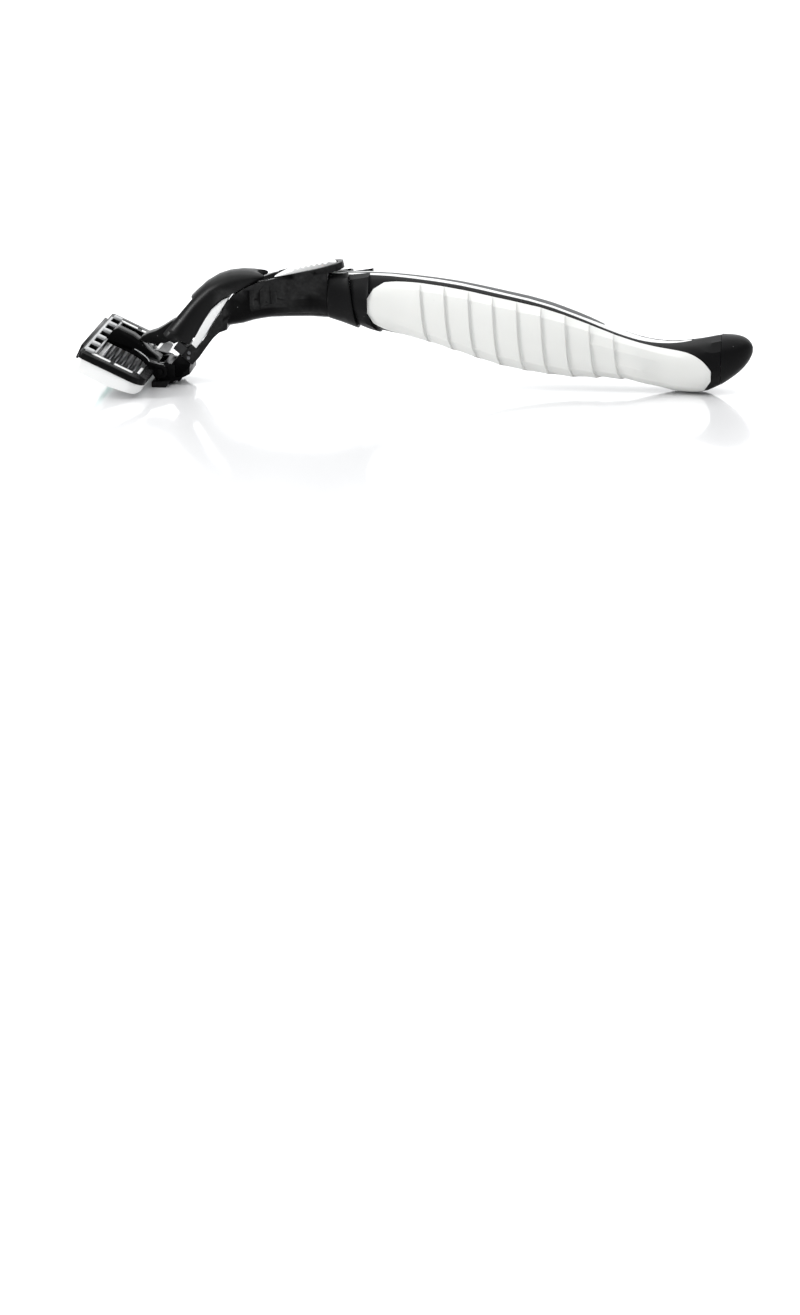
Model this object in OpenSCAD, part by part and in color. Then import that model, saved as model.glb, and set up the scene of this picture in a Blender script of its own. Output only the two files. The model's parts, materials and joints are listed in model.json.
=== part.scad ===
// Cartridge razor, lying on its tail and on the foot of its head.
// Millimetres. +X runs from the head to the tail, +Z is up, and Y = 0 is the mirror plane.
// The origin is at the middle of the footprint, on the surface that the razor lies on.

/* [Handle] */
// Length of the handle from the end of the neck to the tip of the tail
handle_len = 89.4; // [74.4:0.1:107.4]
// Greatest width of the handle across both grips
handle_w = 15; // [12.5:0.1:18]
// Greatest height of the handle through the ribbed stretch
handle_h = 15.5; // [13.5:0.1:18.6]
// Thickness of the soft skin and the grip panels over the spine
skin_t = 1.6; // [1.2:0.1:2]
// Number of ribs on each grip panel
rib_count = 10; // [6:1:12]
// Height of the step at the tail side of each rib
rib_step = 0.5; // [0.2:0.05:0.8]
// How far a rib's lower end lies behind its upper end
rib_sweep = 2.6; // [0:0.1:4]

/* [Collar] */
// Length of the first stepped ring, between the neck and the handle
collar_len = 4.3; // [3.5:0.1:5.2]
// Length of the second stepped ring, at the front of the handle's shell
shell_ring_len = 4.6; // [3.8:0.1:5.5]
// Height of the step at the end of each ring
collar_step = 0.6; // [0.3:0.05:0.8]
// How far the underside of each step lies behind its top
collar_lean = 2.2; // [0:0.1:3]

/* [Neck] */
// Width of the barrel that carries the button
neck_w = 10.6; // [9.4:0.1:12.6]
// Width of the arm cover at the dome
arm_w = 9.8; // [8.8:0.1:11.8]
// Width of the cavity in the arm that the fork runs in
fork_bay_w = 6.4; // [6.3:0.05:6.6]
// Depth of the plunger's top below the arm's front slope
arm_recess = 0.45; // [0.2:0.05:0.6]

/* [Button] */
// Length of the oval thumb button
button_len = 13.6; // [11.4:0.1:14.6]
// Width of the oval thumb button
button_w = 7.4; // [6.2:0.1:8]
// Travel of the button towards the head
button_travel = 3; // [2:0.1:3]
// Number of thumb ridges
tooth_count = 7; // [5:1:9]
// Height of a thumb ridge
tooth_h = 0.45; // [0.2:0.05:0.6]
// Diameter of the push rod under the button
rod_d = 1.4; // [1.1:0.05:1.6]

/* [Dock] */
// Width of the sliding plunger that presses on the cartridge's back
plunger_w = 4; // [3.4:0.1:4.4]
// Thickness of the sliding plunger
plunger_t = 2.4; // [2:0.1:2.6]
// Diameter of the two pins through the dock head
dock_pin_d = 0.8; // [0.6:0.05:0.9]
// Width of the nose that plugs into the connector
nose_w = 6; // [5:0.1:6.4]

/* [Cartridge] */
// Width of the cartridge along the blades
cartridge_w = 42; // [35:0.1:50.4]
// Depth of the cartridge from the cap edge to the guard edge
cartridge_d = 15; // [14.6:0.1:16.5]
// Thickness of the rear frame plate
frame_t = 1.3; // [1.1:0.05:1.6]
// Height of the blade housing in front of the frame
housing_t = 3; // [2.7:0.05:3.2]
// Corner radius of the cartridge at the guard edge
cartridge_r = 3.2; // [2:0.1:4]
// Corner radius of the cartridge at the cap edge
cap_corner_r = 1.2; // [0.8:0.1:2]
// Number of blades
blade_count = 6; // [6:1:6]
// Spacing of the blades
blade_pitch = 1.42; // [1.2:0.01:1.45]
// Diameter of the pivot pins
pivot_d = 1.4; // [1.15:0.05:1.7]
// Wall of the lugs round the pivot pins
lug_wall = 0.8; // [0.6:0.05:0.9]
// Width of the connector's foot
foot_w = 16; // [15.6:0.1:20]

/* [Fits] */
// Radial clearance of pins, rods and plungers that move in a bore
run_fit = 0.05; // [0.02:0.01:0.1]
// Gap between moulded pieces that are fixed side by side
seam_gap = 0.08; // [0.04:0.01:0.15]
// Gap between pieces that move past each other
free_gap = 0.3; // [0.2:0.05:0.4]

/* [Hidden] */
$fn = 48;
eps = 0.01;

// ---- Handle: section sizes along the length ----
// The handle starts at the end of the barrel and is a loft of superellipses.
handle_x0 = -18.8;
section_n = 2.6;
// Height that the handle's front end is made for, so that it always meets the neck
neck_h = 15.5;
ring_sides = 28;
// Rows: share of the length, height of the underside, share of the height, share of the width
handle_shape = [
    [0.000, 14.34, 0.640, 0.71], [0.050, 13.25, 0.690, 0.77], [0.124, 11.95, 0.780, 0.86],
    [0.203, 10.67, 0.830, 0.92], [0.305, 7.95, 0.935, 0.97], [0.406, 5.15, 1.000, 1.00],
    [0.508, 3.55, 0.975, 0.99], [0.598, 2.88, 0.835, 0.94], [0.677, 2.99, 0.640, 0.87],
    [0.745, 2.08, 0.570, 0.82], [0.813, 0.45, 0.640, 0.82], [0.870, 0.04, 0.715, 0.82],
    [0.886, 0.10, 0.725, 0.82]];
// The tail closes as an ellipse after this share of the length, and its centre rises by this much
tail_start = 0.886;
tail_rise = 3.4;
tail_x = handle_x0 + tail_start * handle_len;
tail_tip_x = handle_x0 + handle_len;
// Where the shell ends and the tail cap begins, and the spigot that joins them
cap_seam_share = 0.35;
cap_x = tail_x + cap_seam_share * (tail_tip_x - tail_x);
spigot_d = 3;
spigot_len = 5;

// ---- Handle: outlines of the windows in the skin ----
collar_x1 = handle_x0 + collar_len;
grip_x0 = collar_x1 + 4.1;
shell_ring_x1 = collar_x1 + shell_ring_len;
grip_x1 = handle_x0 + 0.905 * handle_len;
grip_span = grip_x1 - grip_x0;
// Rows: share of the grip's length, angle of the upper edge, angle of the lower edge
grip_edges = [
    [0.000, 6, -10], [0.020, 30, -38], [0.055, 52, -60], [0.110, 60, -74], [0.200, 61, -79],
    [0.600, 62, -80], [0.800, 62, -80], [0.880, 56, -80], [0.935, 38, -76], [0.975, 14, -58],
    [1.000, -6, -24]];
// First and last rib, as shares of the grip's length
rib_first = 0.085;
rib_last = 0.785;
inlay_x0 = handle_x0 + 0.4;
inlay_x1 = handle_x0 + 0.86 * handle_len;
// Rows: share of the inlay's length, half width of the inlay
inlay_half = [[0, 1.9], [0.2, 2.5], [0.45, 2.9], [0.72, 3.0], [0.86, 2.3], [0.95, 1.2], [1, 0.4]];
insert_x0 = inlay_x0;
insert_x1 = handle_x0 + 0.65 * handle_len;
// Rows: share of the insert's length, half width of the insert
insert_half = [[0, 0.55], [0.3, 0.8], [0.55, 1.3], [0.8, 1.8], [0.92, 1.6], [0.98, 0.9], [1, 0.4]];

// ---- Neck: paired points of each section (top x, top z, bottom x, bottom z, half width share) ----
barrel_shape = [
    [-41.9, 15.2, -42.1, 12.4, 0.68], [-40.9, 16.8, -41.0, 12.0, 0.85],
    [-39.4, 18.8, -39.4, 12.4, 0.92], [-37.0, 20.5, -37.0, 12.8, 0.95],
    [-34.8, 21.6, -34.8, 13.5, 0.96], [-32.9, 22.3, -32.9, 13.9, 0.97],
    [-31.2, 22.8, -31.0, 14.2, 0.98], [-27.0, 23.8, -27.0, 14.4, 0.98],
    [-22.5, 24.8, -22.5, 14.5, 0.98], [-18.8, 24.3, -18.8, 14.35, 0.99]];
arm_shape = [
    [-54.4, 10.9, -51.6, 8.6, 0.87], [-53.6, 12.0, -50.3, 9.3, 0.90], [-53.0, 12.6, -48.3, 8.5, 0.91],
    [-50.8, 15.4, -46.4, 11.6, 0.93], [-48.8, 17.9, -44.9, 14.3, 0.94],
    [-47.0, 19.7, -43.5, 16.4, 0.96], [-44.9, 21.6, -42.2, 17.8, 0.98],
    [-42.4, 23.1, -40.6, 18.85, 1.00], [-40.0, 23.9, -38.9, 19.7, 1.00],
    [-37.5, 24.2, -37.0, 20.75, 0.98], [-35.0, 24.1, -34.8, 21.85, 0.90],
    [-33.0, 23.85, -32.9, 22.6, 0.73], [-31.6, 23.55, -31.6, 23.1, 0.46]];
// Side outlines of the lower arm and of the white core strip, as [x, z] corners
lower_arm_under = [[-47.7, 4.25], [-46.3, 5.7], [-45.1, 7.4], [-44.1, 8.8], [-43.0, 10.2],
                   [-41.8, 11.3], [-40.2, 11.9]];
lower_arm_over = [[-39.6, 16.5], [-41.3, 16.0], [-42.4, 14.4], [-43.5, 12.6], [-44.6, 10.7],
                  [-45.7, 9.0], [-46.7, 7.7]];
strip_under = [[-46.8, 7.85], [-45.8, 9.15], [-44.7, 10.85], [-43.6, 12.75], [-42.5, 14.55],
               [-41.4, 16.2], [-39.9, 18.5]];
strip_over = [[-39.6, 19.0], [-41.3, 18.15], [-43.5, 16.15], [-44.6, 14.45], [-45.7, 12.6],
              [-46.8, 10.55], [-47.8, 8.75]];
lower_arm_w = 8.8;
strip_w = 8.7;
// The core's tongue inside the barrel
tongue_w = 6.8;
tongue_z0 = 15.6;
tongue_z1 = 18.5;
tongue_x0 = -42.2;

// ---- Dock frame: x runs up the neck, z points away from the floor, origin at the mating line ----
dock_at = [-51, 0, 6.5];
dock_angle = 50;
plunger_travel = 6.2;
plunger_x1 = 4.6;
plunger_z1 = 5.65 - arm_recess;
plunger_z0 = plunger_z1 - plunger_t;
channel_x1 = plunger_x1 + plunger_travel + 0.2;
channel_z0 = plunger_z0 - free_gap;
flange_w = 0.3;
recess_half_w = 3.3;
flange_t = 0.5;
fork_z0 = 0.1;
fork_z1 = 0.8;
fork_half_w = 2.9;
prong_t = 1;
prong_x0 = 0.7;
prong_x1 = 8.3;
fork_x1 = 17;
fork_travel = button_travel;
knuckle_x0 = 0.4;
knuckle_x1 = 2.45;
knuckle_z0 = -1.05;
knuckle_z1 = 1.35;
knuckle_half_w = 4.2;
nose_x0 = -2.4;
nose_x1 = 3.3;
nose_z0 = -3;
nose_z1 = -1.3;
dock_pin_len = lower_arm_w - 0.2;
dock_pins_at = [[1.95, -1.85], [1, -2.45]];

// ---- Button frame: x runs towards the tail along the slope of the rim ----
button_at = [-24, 0, 24.65];
button_angle = 12.3;
rim_t = 1.4;
rim_wall = 1.15;
pocket_depth = 3.3;
rod_z = -2.2;
rod_x0 = -16;
spring_wall_x = -12.4;
spring_wall_t = 0.9;
spring_wire_d = 0.35;
spring_turns = 5;
crown_edge = -0.45;
crown_peak = 0.65;

// ---- Cartridge frame: x runs from the cap edge to the guard edge, z points to the rear ----
cap_at = [-68.8, 0, 10.1];
cartridge_tilt = 25;
pivot_drop = -0.3;
pivot_reach = 1.15;
pivot_x = cartridge_d + pivot_reach;
lug_r = pivot_d / 2 + run_fit + lug_wall;
lug_t = 1.5;
lug_y = 5.2;
cheek_t = 1.3;
rail_d = 3.2;
rail_windows = 5;
blade_x0 = 4.35;
blade_half_w = cartridge_w / 2 - 5.2;
blade_bite = 0.7;
blade_t = 0.3;
blade_z1 = -0.9;
guard_fall = 0.9;
end_window_y = cartridge_w / 2 - 3.1;
end_window_w = 1.5;
end_window_len = (cartridge_d - 5.6) / 2 - 0.4;
tongue_rib_w = 3.6;
// Side outline of the raised rib across the back, as [x, z] corners
rib_outline = [[2.6, 0], [3.2, 2.4], [3.9, 3.1], [7.4, 3.1], [9.2, 2.7], [11.2, 1.9], [13.4, 1.1],
               [14.6, 0.7], [14.6, -0.6], [3.2, -0.6]];
strip_x0 = 1;
strip_x1 = 2.9;
strip_proud = 0.35;
fin_count = 4;
fin_h = 0.5;
guard_d = 1.9;
trimmer_out = 0.7;

// The whole razor is moved along X so that the origin is at the middle of its length
head_reach = (frame_t + housing_t) * sin(cartridge_tilt) + trimmer_out * cos(cartridge_tilt);
centre_shift = -(cap_at[0] - head_reach + tail_tip_x) / 2;

// Height of the shaving face at x: level behind the cap, and falling back towards the guard
function face_z(x) = -frame_t - housing_t + guard_fall * max(0, x - 8) / (cartridge_d - 8);

// ==== Curves and lofts ====

// Power that turns a circle into a superellipse, keeping the sign
function spow(v, n) = sign(v) * pow(abs(v), 2 / n);

// Index of the row of table t that holds x
function row_at(t, x, i = 0) = i >= len(t) - 2 || x <= t[i + 1][0] ? i : row_at(t, x, i + 1);

// Gradient of column k at row i of table t
function grad(t, i, k) =
    let (a = max(i - 1, 0), b = min(i + 1, len(t) - 1))
    (t[b][k] - t[a][k]) / (t[b][0] - t[a][0]);

// Smooth value of column k at x, through the rows of table t
function curve(t, x, k = 1) =
    let (i = row_at(t, x), w = t[i + 1][0] - t[i][0], u = min(max((x - t[i][0]) / w, 0), 1))
    (2 * u ^ 3 - 3 * u ^ 2 + 1) * t[i][k] + (u ^ 3 - 2 * u ^ 2 + u) * w * grad(t, i, k)
    + (3 * u ^ 2 - 2 * u ^ 3) * t[i + 1][k] + (u ^ 3 - u ^ 2) * w * grad(t, i + 1, k);

// How much of the full section is left at x in the closing tail
function tail_share(x) =
    x <= tail_x ? 1 : sqrt(max(0, 1 - ((x - tail_x) / (tail_tip_x - tail_x)) ^ 2));
function handle_share(x) = min((x - handle_x0) / handle_len, tail_start);

// Height that the sections are a share of: the neck's own at the front, and the handle's further back
function height_at(x) =
    let (u = min(max((handle_share(x) - 0.1) / 0.25, 0), 1))
    neck_h + (handle_h - neck_h) * u ^ 2 * (3 - 2 * u);
function centre_z(x) =
    curve(handle_shape, handle_share(x), 1)
    + curve(handle_shape, handle_share(x), 2) * height_at(x) / 2
    + tail_rise * max(0, (x - tail_x) / (tail_tip_x - tail_x));
function half_h(x) = curve(handle_shape, handle_share(x), 2) * height_at(x) / 2 * tail_share(x);
function half_w(x) = curve(handle_shape, handle_share(x), 3) * handle_w / 2 * tail_share(x);

// Point of the handle's skin at x, angle a from +Y towards +Z, and depth d below the surface
function skin_at(x, a, d = 0) =
    [x, (half_w(x) - d) * spow(cos(a), section_n), centre_z(x) + (half_h(x) - d) * spow(sin(a), section_n)];

// Angle at which the skin's surface is y away from the mirror plane
function angle_at(x, y) = acos(pow(min(y / half_w(x), 1), section_n / 2));

// Evenly spaced values from a to b
function steps(a, b, n) = [for (i = [0:n]) a + (b - a) * i / n];

// Two triangles for the quad a, b, c, d
function two(a, b, c, d) = [[a, b, c], [a, c, d]];

// A closed solid through rings of points that all have the same count
module loft(rings) {
    n = len(rings[0]);
    m = len(rings);
    sides = [for (i = [0:m - 2], j = [0:n - 1])
        each two(i * n + j, (i + 1) * n + j, (i + 1) * n + (j + 1) % n, i * n + (j + 1) % n)];
    front = [for (j = [1:n - 2]) [0, j, j + 1]];
    back = [for (j = [1:n - 2]) [(m - 1) * n, (m - 1) * n + j + 1, (m - 1) * n + j]];
    polyhedron([for (r = rings) each r], concat(sides, front, back));
}

// A sheet between two grids of points. open(i, j) leaves a cell out, and wrap closes the rows.
module skin(outer, inner, open = function (i, j) false, wrap = false) {
    nu = len(outer) - 1;
    nv = len(outer[0]) - (wrap ? 0 : 1);
    cols = len(outer[0]);
    size = (nu + 1) * cols;
    id = function (k, i, j) k * size + i * cols + j % cols;
    solid = function (i, j) i >= 0 && i < nu && (wrap || (j >= 0 && j < nv))
        && !open(i, (j + nv) % nv);
    cells = [for (i = [0:nu - 1], j = [0:nv - 1]) if (solid(i, j)) [i, j]];
    faces = [for (c = cells) let (i = c[0], j = c[1]) each concat(
        two(id(0, i, j), id(0, i + 1, j), id(0, i + 1, j + 1), id(0, i, j + 1)),
        two(id(1, i, j), id(1, i, j + 1), id(1, i + 1, j + 1), id(1, i + 1, j)),
        solid(i - 1, j) ? [] : two(id(0, i, j), id(0, i, j + 1), id(1, i, j + 1), id(1, i, j)),
        solid(i + 1, j) ? []
            : two(id(0, i + 1, j + 1), id(0, i + 1, j), id(1, i + 1, j), id(1, i + 1, j + 1)),
        solid(i, j - 1) ? [] : two(id(0, i + 1, j), id(0, i, j), id(1, i, j), id(1, i + 1, j)),
        solid(i, j + 1) ? []
            : two(id(0, i, j + 1), id(0, i + 1, j + 1), id(1, i + 1, j + 1), id(1, i, j + 1)))];
    used = [for (c = cells, k = [0, 1], di = [0, 1], dj = [0, 1]) id(k, c[0] + di, c[1] + dj)];
    points = concat([for (r = outer) each r], [for (r = inner) each r]);
    keep = [for (p = [0:len(points) - 1]) len(search(p, used)) > 0 ? 1 : 0];
    new_id = [for (p = 0, sum = 0; p < len(points); sum = sum + keep[p], p = p + 1) sum];
    polyhedron([for (p = [0:len(points) - 1]) if (keep[p] == 1) points[p]],
        [for (f = faces) [for (v = f) new_id[v]]]);
}

// Rings of the handle between two stations at a given depth
function handle_rings(xs, d) =
    [for (x = xs) [for (j = [0:ring_sides - 1]) skin_at(x, 360 * j / ring_sides, d)]];

// Closed section of a neck piece. The flat side faces down, or up when flip is true.
function neck_ring(row, width, flip) =
    let (top = [row[0], 0, row[1]], bottom = [row[2], 0, row[3]], w = width / 2 * row[4],
         a = flip ? bottom : top, b = flip ? top : bottom, shoulder = 0.35, arc_steps = 12,
         arc = [for (k = [0:arc_steps]) let (t = 180 * k / arc_steps)
             b + (a - b) * (shoulder + (1 - shoulder) * spow(sin(t), 2.4)) + [0, w * spow(cos(t), 2.4), 0]],
         ring = concat([b + [0, w * 0.96, 0]], arc, [b - [0, w * 0.96, 0]]))
    flip ? [for (k = [len(ring) - 1:-1:0]) ring[k]] : ring;

// ==== Frames ====

module centred() {
    translate([centre_shift, 0, 0]) children();
}

module dock() {
    translate(dock_at) rotate([0, -dock_angle, 0]) children();
}

module button_frame() {
    translate(button_at) rotate([0, -button_angle, 0]) children();
}

module cartridge() {
    translate(cap_at) rotate([0, cartridge_tilt, 0]) children();
}

// A box given by its lowest and highest corners
module block(lo, hi) {
    translate(lo) cube(hi - lo);
}

// A round bar along X
module bar_x(x0, x1, d, z = 0, y = 0) {
    translate([x0, y, z]) rotate([0, 90, 0]) cylinder(h = x1 - x0, d = d);
}

// A round bar along Y, centred on the mirror plane or between two values
module bar_y(y0, y1, d, x = 0, z = 0) {
    translate([x, y0, z]) rotate([-90, 0, 0]) cylinder(h = y1 - y0, d = d);
}

// A side outline in X and Z, extruded across the razor between two values of Y
module slab(points, y0, y1) {
    translate([0, y1, 0]) rotate([90, 0, 0]) linear_extrude(y1 - y0) polygon(points);
}

// A rounded plate from x0 to x1, with one corner radius at each end
module plate_outline(x0, x1, w, r0, r1) {
    intersection() {
        offset(r0) offset(-r0) translate([x0, -w / 2]) square([x1 - x0 + 9, w]);
        offset(r1) offset(-r1) translate([x0 - 9, -w / 2]) square([x1 - x0 + 9, w]);
    }
}

// An oval with round ends, centred on the origin
module oval(len, w) {
    scale_y = w / len;
    side = 26;
    polygon([for (k = [0:2 * side - 1]) let (t = 180 * k / side)
        [len / 2 * spow(cos(t), 2.3), w / 2 * spow(sin(t), 2.3)]]);
}

// A coil spring along X, as a wire swept round a helix
module coil(x0, x1, mean_r, wire_d, turns) {
    per_turn = 12;
    wire_sides = 6;
    count = turns * per_turn;
    rings = [for (i = [0:count]) let (a = 360 * i / per_turn, x = x0 + wire_d / 2
            + (x1 - x0 - wire_d) * i / count)
        [for (j = [0:wire_sides - 1]) let (b = 360 * j / wire_sides, r = mean_r + wire_d / 2 * cos(b))
            [x + wire_d / 2 * sin(b), r * cos(a), r * sin(a)]]];
    loft([for (i = [count:-1:0]) rings[i]]);
}

// ==== Handle pieces ====

body_steps = 24;
tail_angles = [12, 26, 42, 58, 72, 84];
function body_stations(x0, x1) = steps(x0, x1, body_steps);

module core_spine() {
    color("gainsboro") centred() {
        difference() {
            union() {
                loft(handle_rings(steps(handle_x0 + seam_gap, cap_x - seam_gap, 18), skin_t));
                slab([[tongue_x0, tongue_z0 + 1], [-41, tongue_z0], [handle_x0 + 1, tongue_z0 + 0.6],
                      [handle_x0 + 1, tongue_z1], [-33, tongue_z1], [-38, tongue_z1 - 1.3],
                      [-41.5, tongue_z1 - 1.6]], -tongue_w / 2, tongue_w / 2);
                slab(concat(strip_under, strip_over), -strip_w / 2, strip_w / 2);
            }
            dock() block([0, -fork_bay_w / 2, fork_z0 - free_gap], [fork_x1 + 3, fork_bay_w / 2, 4]);
            button_frame() bar_x(rod_x0 - button_travel - free_gap, 0, rod_d + 2 * free_gap, rod_z);
            bar_x(cap_x - spigot_len - 0.5, cap_x + 1, spigot_d + 2 * seam_gap, centre_z(cap_x));
        }
    }
}

// Angles of the grip window's lower and upper edge and of the inlay's edge at x
function grip_share(x) = min(max((x - grip_x0) / grip_span, 0), 1);
function low_angle(x) = curve(grip_edges, grip_share(x), 2);
function up_angle(x) = curve(grip_edges, grip_share(x), 1);
function inlay_share(x) = min(max((x - inlay_x0) / (inlay_x1 - inlay_x0), 0), 1);
function inlay_edge(x) = angle_at(x, curve(inlay_half, inlay_share(x)));

// Angles of the shell's grid lines at x, from the underside round the right and back
grip_cols = 6;
band_cols = 3;
half_cols = 2 * band_cols + grip_cols;
function shell_angles(x) =
    let (low = low_angle(x), up = up_angle(x), right = concat(
        [for (k = [0:band_cols - 1]) -90 + (low + 90) * k / band_cols],
        [for (k = [0:grip_cols - 1]) low + (up - low) * k / grip_cols],
        steps(up, inlay_edge(x), band_cols)))
    concat(right, [90], [for (k = [len(right) - 1:-1:1]) 180 - right[k]]);

// An angle on either side of the handle, as the same angle on the right side
function right_angle(a) = let (b = a > 270 ? a - 360 : a) b > 90 ? 180 - b : b;

// Extra height of a ring's step at angle a: even all round, with a small horn at each shoulder
function step_rise(a) = collar_step * (1 + 0.9 * exp(-((right_angle(a) - 50) / 11) ^ 2));
function ring_lean(a) = collar_lean * (1 - sin(right_angle(a))) / 2;

// Point of the shell at station x and angle a, with the second ring's rise and lean
function shell_at(x, a, d = 0) =
    let (b = right_angle(a), in_ring = x > collar_x1 + 1 && x < shell_ring_x1,
         rise = d == 0 && in_ring ? step_rise(a) * ((x - collar_x1) / shell_ring_len) ^ 2 : 0,
         near = x > grip_x0 + 0.1 ? max(0, 1 - max(0, x - shell_ring_x1) / 5) : 0,
         low = low_angle(x), under = max(0, (low - b) / (low + 90)),
         lean = x < collar_x1 + 1 ? ring_lean(a) : 1.2 * collar_lean * under * near)
    skin_at(x + lean, a, d - rise);

// Stations that meet the ends of both windows and the step of the second ring
function shell_stations() = concat(
    [collar_x1 + seam_gap / 2, grip_x0, shell_ring_x1 - 0.08, shell_ring_x1, shell_ring_x1 + 1.4],
    [for (s = [0.06, 0.11, 0.2]) grip_x0 + s * grip_span],
    steps(grip_x0 + 0.28 * grip_span, grip_x0 + 0.8 * grip_span, 9),
    [for (s = [0.86, 0.91]) grip_x0 + s * grip_span], [inlay_x1],
    [for (s = [0.985, 1]) grip_x0 + s * grip_span], [cap_x - seam_gap / 2]);

module handle_shell() {
    xs = shell_stations();
    grip_col = function (j) let (k = j < half_cols + 1 ? j : 2 * half_cols + 1 - j)
        k >= band_cols && k < band_cols + grip_cols;
    inlay_col = function (j) j == half_cols || j == half_cols + 1;
    open = function (i, j) let (x = (xs[i] + xs[i + 1]) / 2)
        (grip_col(j) && x > grip_x0 && x < grip_x1) || (inlay_col(j) && x < inlay_x1);
    color([0.1, 0.1, 0.105]) centred()
        skin([for (x = xs) [for (a = shell_angles(x)) shell_at(x, a)]],
             [for (x = xs) [for (a = shell_angles(x)) shell_at(x, a, skin_t - seam_gap / 2)]], open, true);
}

module tail_cap() {
    xs = concat([cap_x + seam_gap / 2],
        [for (a = tail_angles) let (x = tail_x + (tail_tip_x - tail_x) * sin(a)) if (x > cap_x + 1) x]);
    color([0.1, 0.1, 0.105]) centred() {
        loft(handle_rings(xs, 0));
        bar_x(cap_x - spigot_len, cap_x + 1, spigot_d, centre_z(cap_x));
    }
}

// Height of the ribs' saw shape at share s of the grip
function rib_height(s) =
    let (u = (s - rib_first) / (rib_last - rib_first) * rib_count)
    u <= 0 || u >= rib_count ? 0 : rib_step * (u - floor(u));

// Stations of a grip: smooth at both ends, two to a rib between them
function grip_stations() = concat([0.002, 0.02, 0.05],
    [for (k = [0:rib_count - 1], u = [0.02, 0.98])
        rib_first + (k + u) * (rib_last - rib_first) / rib_count],
    [0.84, 0.88, 0.91, 0.935, 0.96, 0.98, 0.998]);

// How far the rib's line has swept back at angle a
function sweep_at(s, a) =
    rib_sweep * ((62 - a) / 142) ^ 2 * min(1, max(0, (s - 0.04) / 0.06), max(0, (0.9 - s) / 0.1));

module grip(side) {
    ss = grip_stations();
    shares = steps(0.012, 0.988, grip_cols);
    point = function (s, v, d) let (x = grip_x0 + s * grip_span, low = curve(grip_edges, s, 2),
        up = curve(grip_edges, s, 1), a = low + (up - low) * v, edge = min(1, 6 * min(v, 1 - v)),
        p = skin_at(x + sweep_at(s, a), a, d - (d == 0 ? 0.06 + edge * rib_height(s) : 0)))
        [p[0], side * p[1], p[2]];
    outer = [for (s = ss) [for (v = shares) point(s, v, 0)]];
    inner = [for (s = ss) [for (v = shares) point(s, v, skin_t - seam_gap / 2)]];
    if (side > 0) skin(outer, inner);
    else skin([for (r = outer) [for (k = [len(r) - 1:-1:0]) r[k]]],
              [for (r = inner) [for (k = [len(r) - 1:-1:0]) r[k]]]);
}

module grip_left() {
    color("whitesmoke") centred() grip(-1);
}

module grip_right() {
    color("whitesmoke") centred() grip(1);
}

// Angles of the inlay's grid lines at x: its edge, the insert's edge, and back
function inlay_angles(x) =
    let (si = (x - inlay_x0) / (inlay_x1 - inlay_x0), sj = min((x - insert_x0) / (insert_x1 - insert_x0), 1),
         edge = angle_at(x, curve(inlay_half, si) - seam_gap), dark = angle_at(x, curve(insert_half, sj)),
         in_edge = x < insert_x1 + 1 ? dark : (edge + 90) / 2)
    [edge, (edge + in_edge) / 2, in_edge, 90, 180 - in_edge, 180 - (edge + in_edge) / 2, 180 - edge];

insert_depth = 0.8;
module top_inlay() {
    xs = concat([inlay_x0], steps(inlay_x0 + 3, insert_x1 - 6, 10),
        [insert_x1 - 3, insert_x1 - 1.2, insert_x1], steps(insert_x1 + 3, inlay_x1 - 0.4, 6));
    color("white") centred() {
        difference() {
            skin([for (x = xs) [for (a = inlay_angles(x)) skin_at(x, a)]],
                 [for (x = xs) [for (a = inlay_angles(x)) skin_at(x, a, skin_t - seam_gap / 2)]]);
            insert_solid(seam_gap, 1);
        }
    }
}

// The dark leaf, or the pocket for it when it is grown by a gap and raised
module insert_solid(gap, raise) {
    xs = concat(steps(insert_x0 - gap, insert_x1 - 6, 10), [insert_x1 - 3, insert_x1 - 1.2, insert_x1 + gap]);
    half = function (x) curve(insert_half, min(max((x - insert_x0) / (insert_x1 - insert_x0), 0), 1)) + gap;
    lines = function (x) let (a = angle_at(x, half(x))) [a, (a + 90) / 2, 90, (270 - a) / 2, 180 - a];
    skin([for (x = xs) [for (a = lines(x)) skin_at(x, a, -raise)]],
         [for (x = xs) [for (a = lines(x)) skin_at(x, a, insert_depth + gap)]]);
}

module top_insert() {
    color([0.27, 0.28, 0.28]) centred() insert_solid(0, 0);
}

// The first ring, which rises to a step and is open along the top for the inlay
module collar() {
    shares = [0, 0.35, 0.7, 1];
    point = function (u, a, d) let (x = handle_x0 + seam_gap + u * (collar_len - 1.5 * seam_gap))
        skin_at(x + ring_lean(a) * u, a, d == 0 ? -step_rise(a) * u ^ 2 : d);
    lines = function (u) let (a = inlay_edge(handle_x0 + u * collar_len)) steps(180 - a, 360 + a, 26);
    color([0.12, 0.12, 0.125]) centred()
        skin([for (u = shares) [for (a = lines(u)) point(u, a, 0)]],
             [for (u = shares) [for (a = lines(u)) point(u, a, skin_t - seam_gap / 2)]]);
}

// ==== Neck pieces ====

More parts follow.
